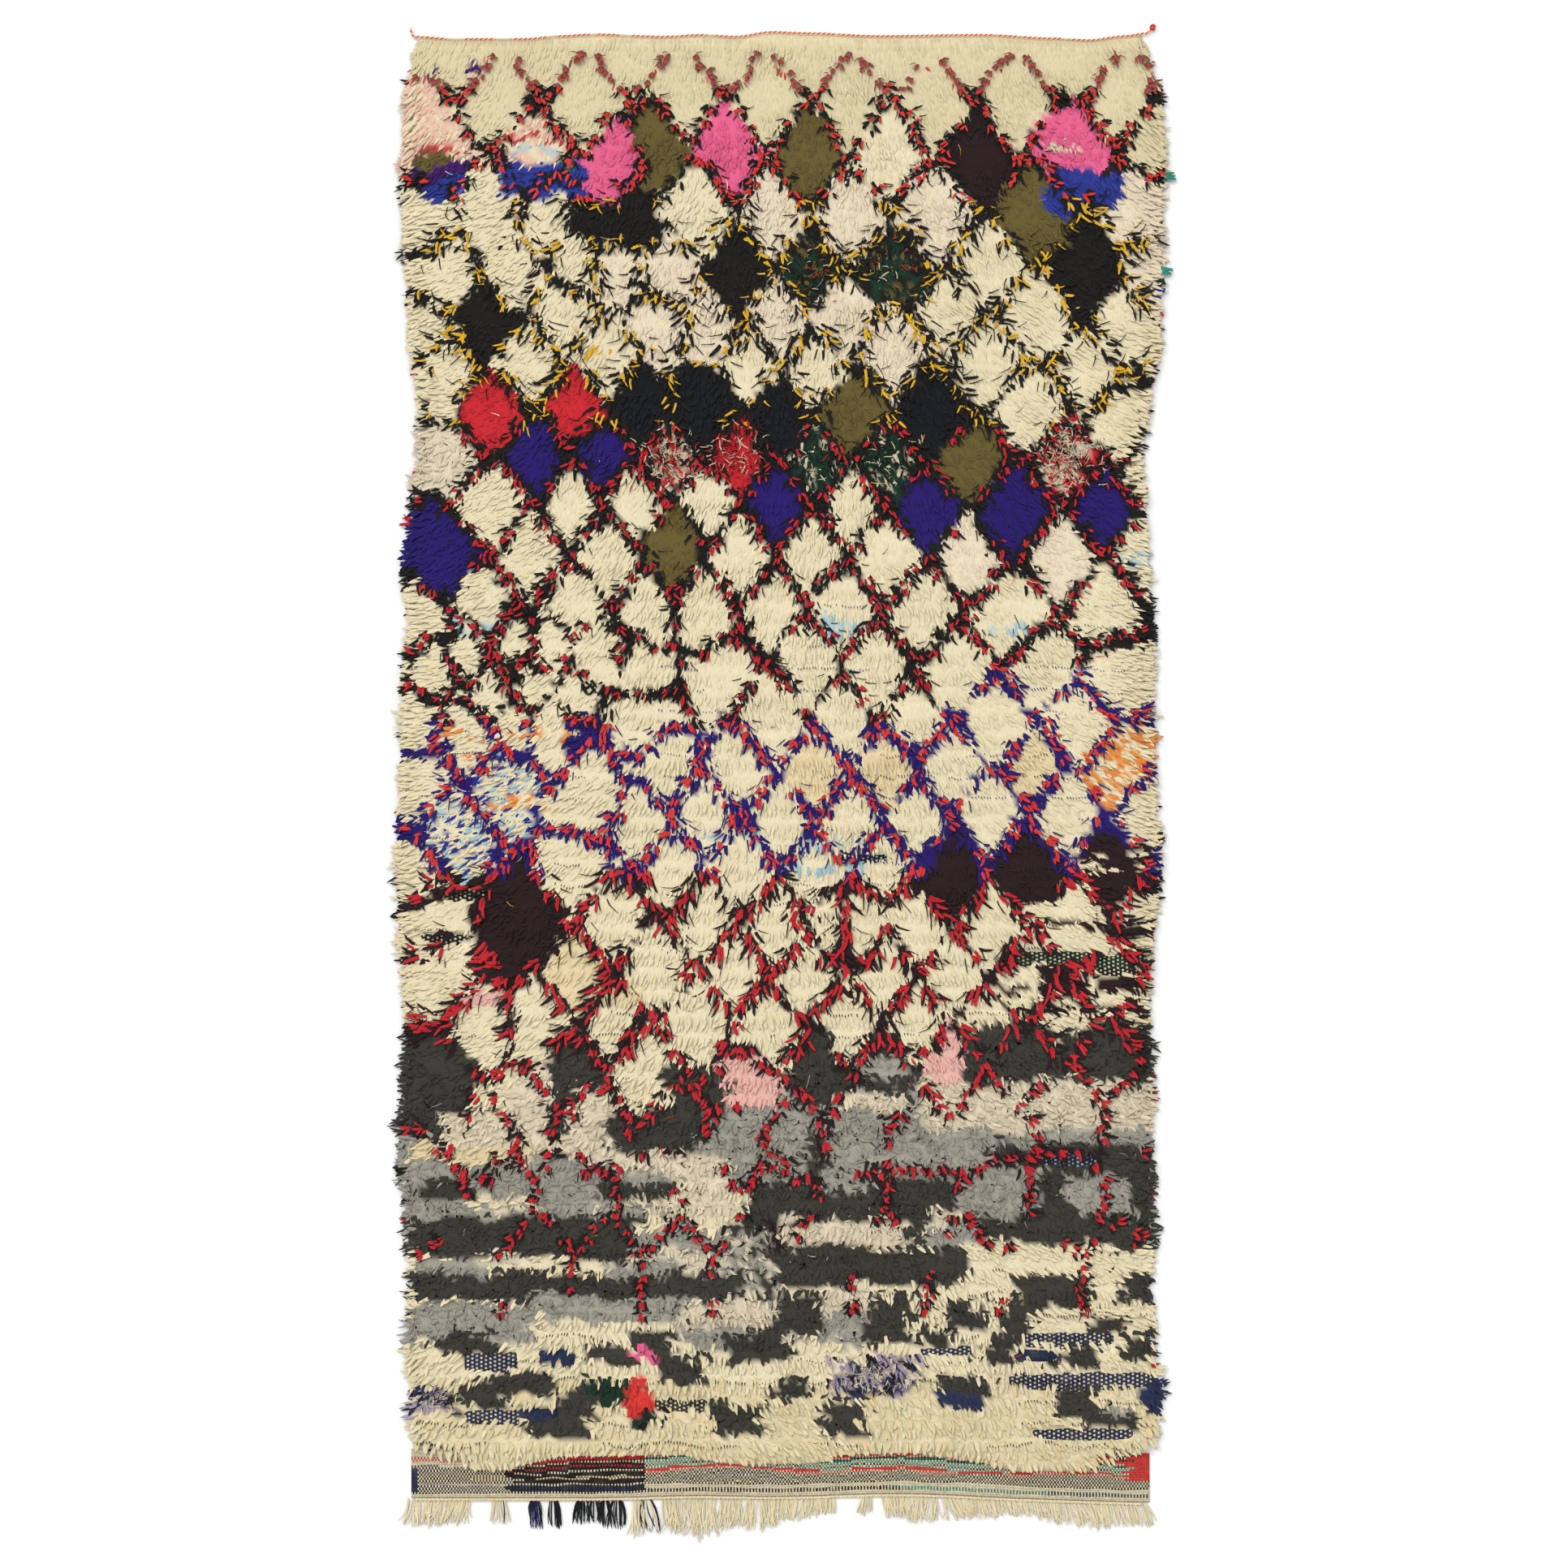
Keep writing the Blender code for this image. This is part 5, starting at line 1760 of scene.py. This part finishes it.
def make_fringe():
    """Clumps of cut warp lying on the floor, and the twined row that holds their roots."""
    strands = Strands()
    count = YARNS_IN_CLUMP
    for run in FRINGE:
        clumps_in_run = max(1, round((run.end - run.start) / CLUMP_PITCH))
        half = (run.end - run.start) / clumps_in_run / 2
        flare, roots = (LOOPED_FLARE, LOOPED_ROOTS) if run.looped else (FRINGE_FLARE, 1.0)
        for number in range(clumps_in_run):
            middle = run.start + half * (2 * number + 1)
            foot = edges.foot(middle)
            reach = float(foot - edges.fringe_tip(middle)) * chance.uniform(0.90, 1.08)
            sway = run.sway + chance.normal(0, 0.07)
            offset = np.sort(chance.uniform(-1, 1, count))
            bend = chance.normal(0, 0.28, count)
            if run.looped:
                bend = bend * 0.5 - 0.50 * offset
            root = np.stack([middle + offset * half * roots, np.full(count, foot + 0.0005)], axis=-1)
            letters = chance.choice(list(run.yarns), count)
            angle = offset * flare + sway + chance.normal(0, 0.08, count) - 0.6 * bend
            length = reach * (1.0 - 0.14 * offset ** 2) * chance.uniform(0.86, 1.04, count)
            width = FRINGE_YARN * chance.uniform(0.8, 1.3, count)
            lift = chance.uniform(0.0004, 0.0060, count)
            strands.add(letters, root, angle, length, width, lift, bend, FRINGE_BASE, 0.35, 0.8)
    made = strand_pieces("fringe", strands, 4, ["warp_fringe"])
    xs = np.linspace(edges.feet[0][0] + TWINE_INSET, edges.feet[0][-1] - TWINE_INSET, 90)
    heights = np.full(len(xs), TWINE_HEIGHT)
    path = np.stack([xs, edges.foot(xs) - TWINE_BELOW_FOOT, heights], axis=-1)
    plies = [twisted(path, TWINE_GAP, TWINE_TURNS, phase) for phase in (0.0, math.pi)]
    mesh = tube_mesh("fringe_twine", plies, TWINE_PLY, 5)
    made.append(new_piece("fringe_twine", mesh, yarn_material("c"), ["warp_fringe"]))
    return made


class RagEnd(NamedTuple):
    side: int
    down: float
    reach: float
    yarn: str


# Ends of rag weft that stick out past the sides
RAG_ENDS = [
    RagEnd(1, 23.5, 3.2, "T"),
    RagEnd(1, 40.0, 3.4, "T"),
    RagEnd(1, 42.0, 2.0, "D"),
    RagEnd(1, 43.5, 2.2, "u"),
    RagEnd(-1, 23.0, 1.4, "T"),
    RagEnd(-1, 192.5, 2.4, "k"),
    RagEnd(1, 101.0, 2.6, "k"),
    RagEnd(1, 136.0, 2.4, "K"),
]
RAGS_IN_END = 5
RAG_ROOT = 0.012
RAG_WIDTH = 0.0062
RAG_HEIGHT = 0.009


def make_rag_ends():
    """The ends of rag weft, a few strips each, lying out over the sides."""
    strands = Strands()
    count = RAGS_IN_END
    for end in RAG_ENDS:
        y = HEADING - end.down * CM
        edge = float(edges.left(y) if end.side < 0 else edges.right(y))
        root = np.array([[edge - end.side * RAG_ROOT, y]] * count)
        root += chance.normal(0, 0.0022, (count, 2))
        angle = end.side * (math.pi / 2 + chance.normal(0, 0.14, count))
        length = end.reach * CM * chance.uniform(0.8, 1.1, count)
        strands.add(end.yarn, root, angle, length, RAG_WIDTH, RAG_HEIGHT,
                    chance.normal(0, 0.12, count), droop=0.7)
    return strand_pieces("rag_end", strands, 4)


PHOTO_WIDTH = 2.666
LENS = 85.0
SENSOR = 36.0
EYE = (0.0014, 0.0016, PHOTO_WIDTH * LENS / SENSOR)
FAR_CLIP = 200.0


def make_camera():
    """The photo's view: straight down, with the rug's middle almost in its centre."""
    data = bpy.data.cameras.new("camera")
    data.lens = LENS
    data.sensor_width = SENSOR
    data.clip_end = FAR_CLIP
    camera = bpy.data.objects.new("camera", data)
    bpy.context.scene.collection.objects.link(camera)
    camera.location = EYE
    bpy.context.scene.camera = camera


FLOOR_HALF = 40.0
SKY = (1.0, 0.995, 0.985, 1.0)
SKY_STRENGTH = 0.54

# Each light's name, the place it shines from, its strength, and its spread in degrees
LIGHTS = [("above", (-0.35, 0.95, 2.0), 1.50, 40), ("side", (-2.0, 2.0, 2.2), 0.75, 20)]


def make_studio():
    """A pale floor, an even white sky, and two large soft lights from the upper left."""
    floor_mesh = bpy.data.meshes.new("floor")
    corners = [(x, y, 0) for x, y in ((-1, -1), (1, -1), (1, 1), (-1, 1))]
    floor_mesh.from_pydata([FLOOR_HALF * Vector(corner) for corner in corners], [], [range(4)])
    floor = bpy.data.objects.new("floor", floor_mesh)
    bpy.context.scene.collection.objects.link(floor)
    shader = Shader("floor_paper", 0.9)
    speck = shader.noise(shader.place(), 3.0, 2.0, 0.5)
    shader.colour(shader.mix(speck, (0.95, 0.95, 0.95), (0.97, 0.97, 0.97)))
    floor_mesh.materials.append(shader.material)
    world = bpy.data.worlds.new("studio")
    world.use_nodes = True
    sky = world.node_tree.nodes["Background"]
    sky.inputs["Color"].default_value = SKY
    sky.inputs["Strength"].default_value = SKY_STRENGTH
    bpy.context.scene.world = world
    for name, place, strength, spread in LIGHTS:
        light = bpy.data.lights.new(name, "SUN")
        light.energy = strength
        light.angle = math.radians(spread)
        lamp = bpy.data.objects.new(name, light)
        bpy.context.scene.collection.objects.link(lamp)
        lamp.location = place
        lamp.rotation_euler = (-Vector(place)).to_track_quat("-Z", "Y").to_euler()
    bpy.context.scene.view_settings.view_transform = "Standard"


make_camera()
make_studio()
pile = make_pile()
ground = make_ground()
weave = woven_material()
end_band = make_end_band(weave)
bare_places = make_patches(weave)
cord = make_heading_cord()
fringe = make_fringe()
rag_ends = make_rag_ends()

bpy.context.view_layer.update()
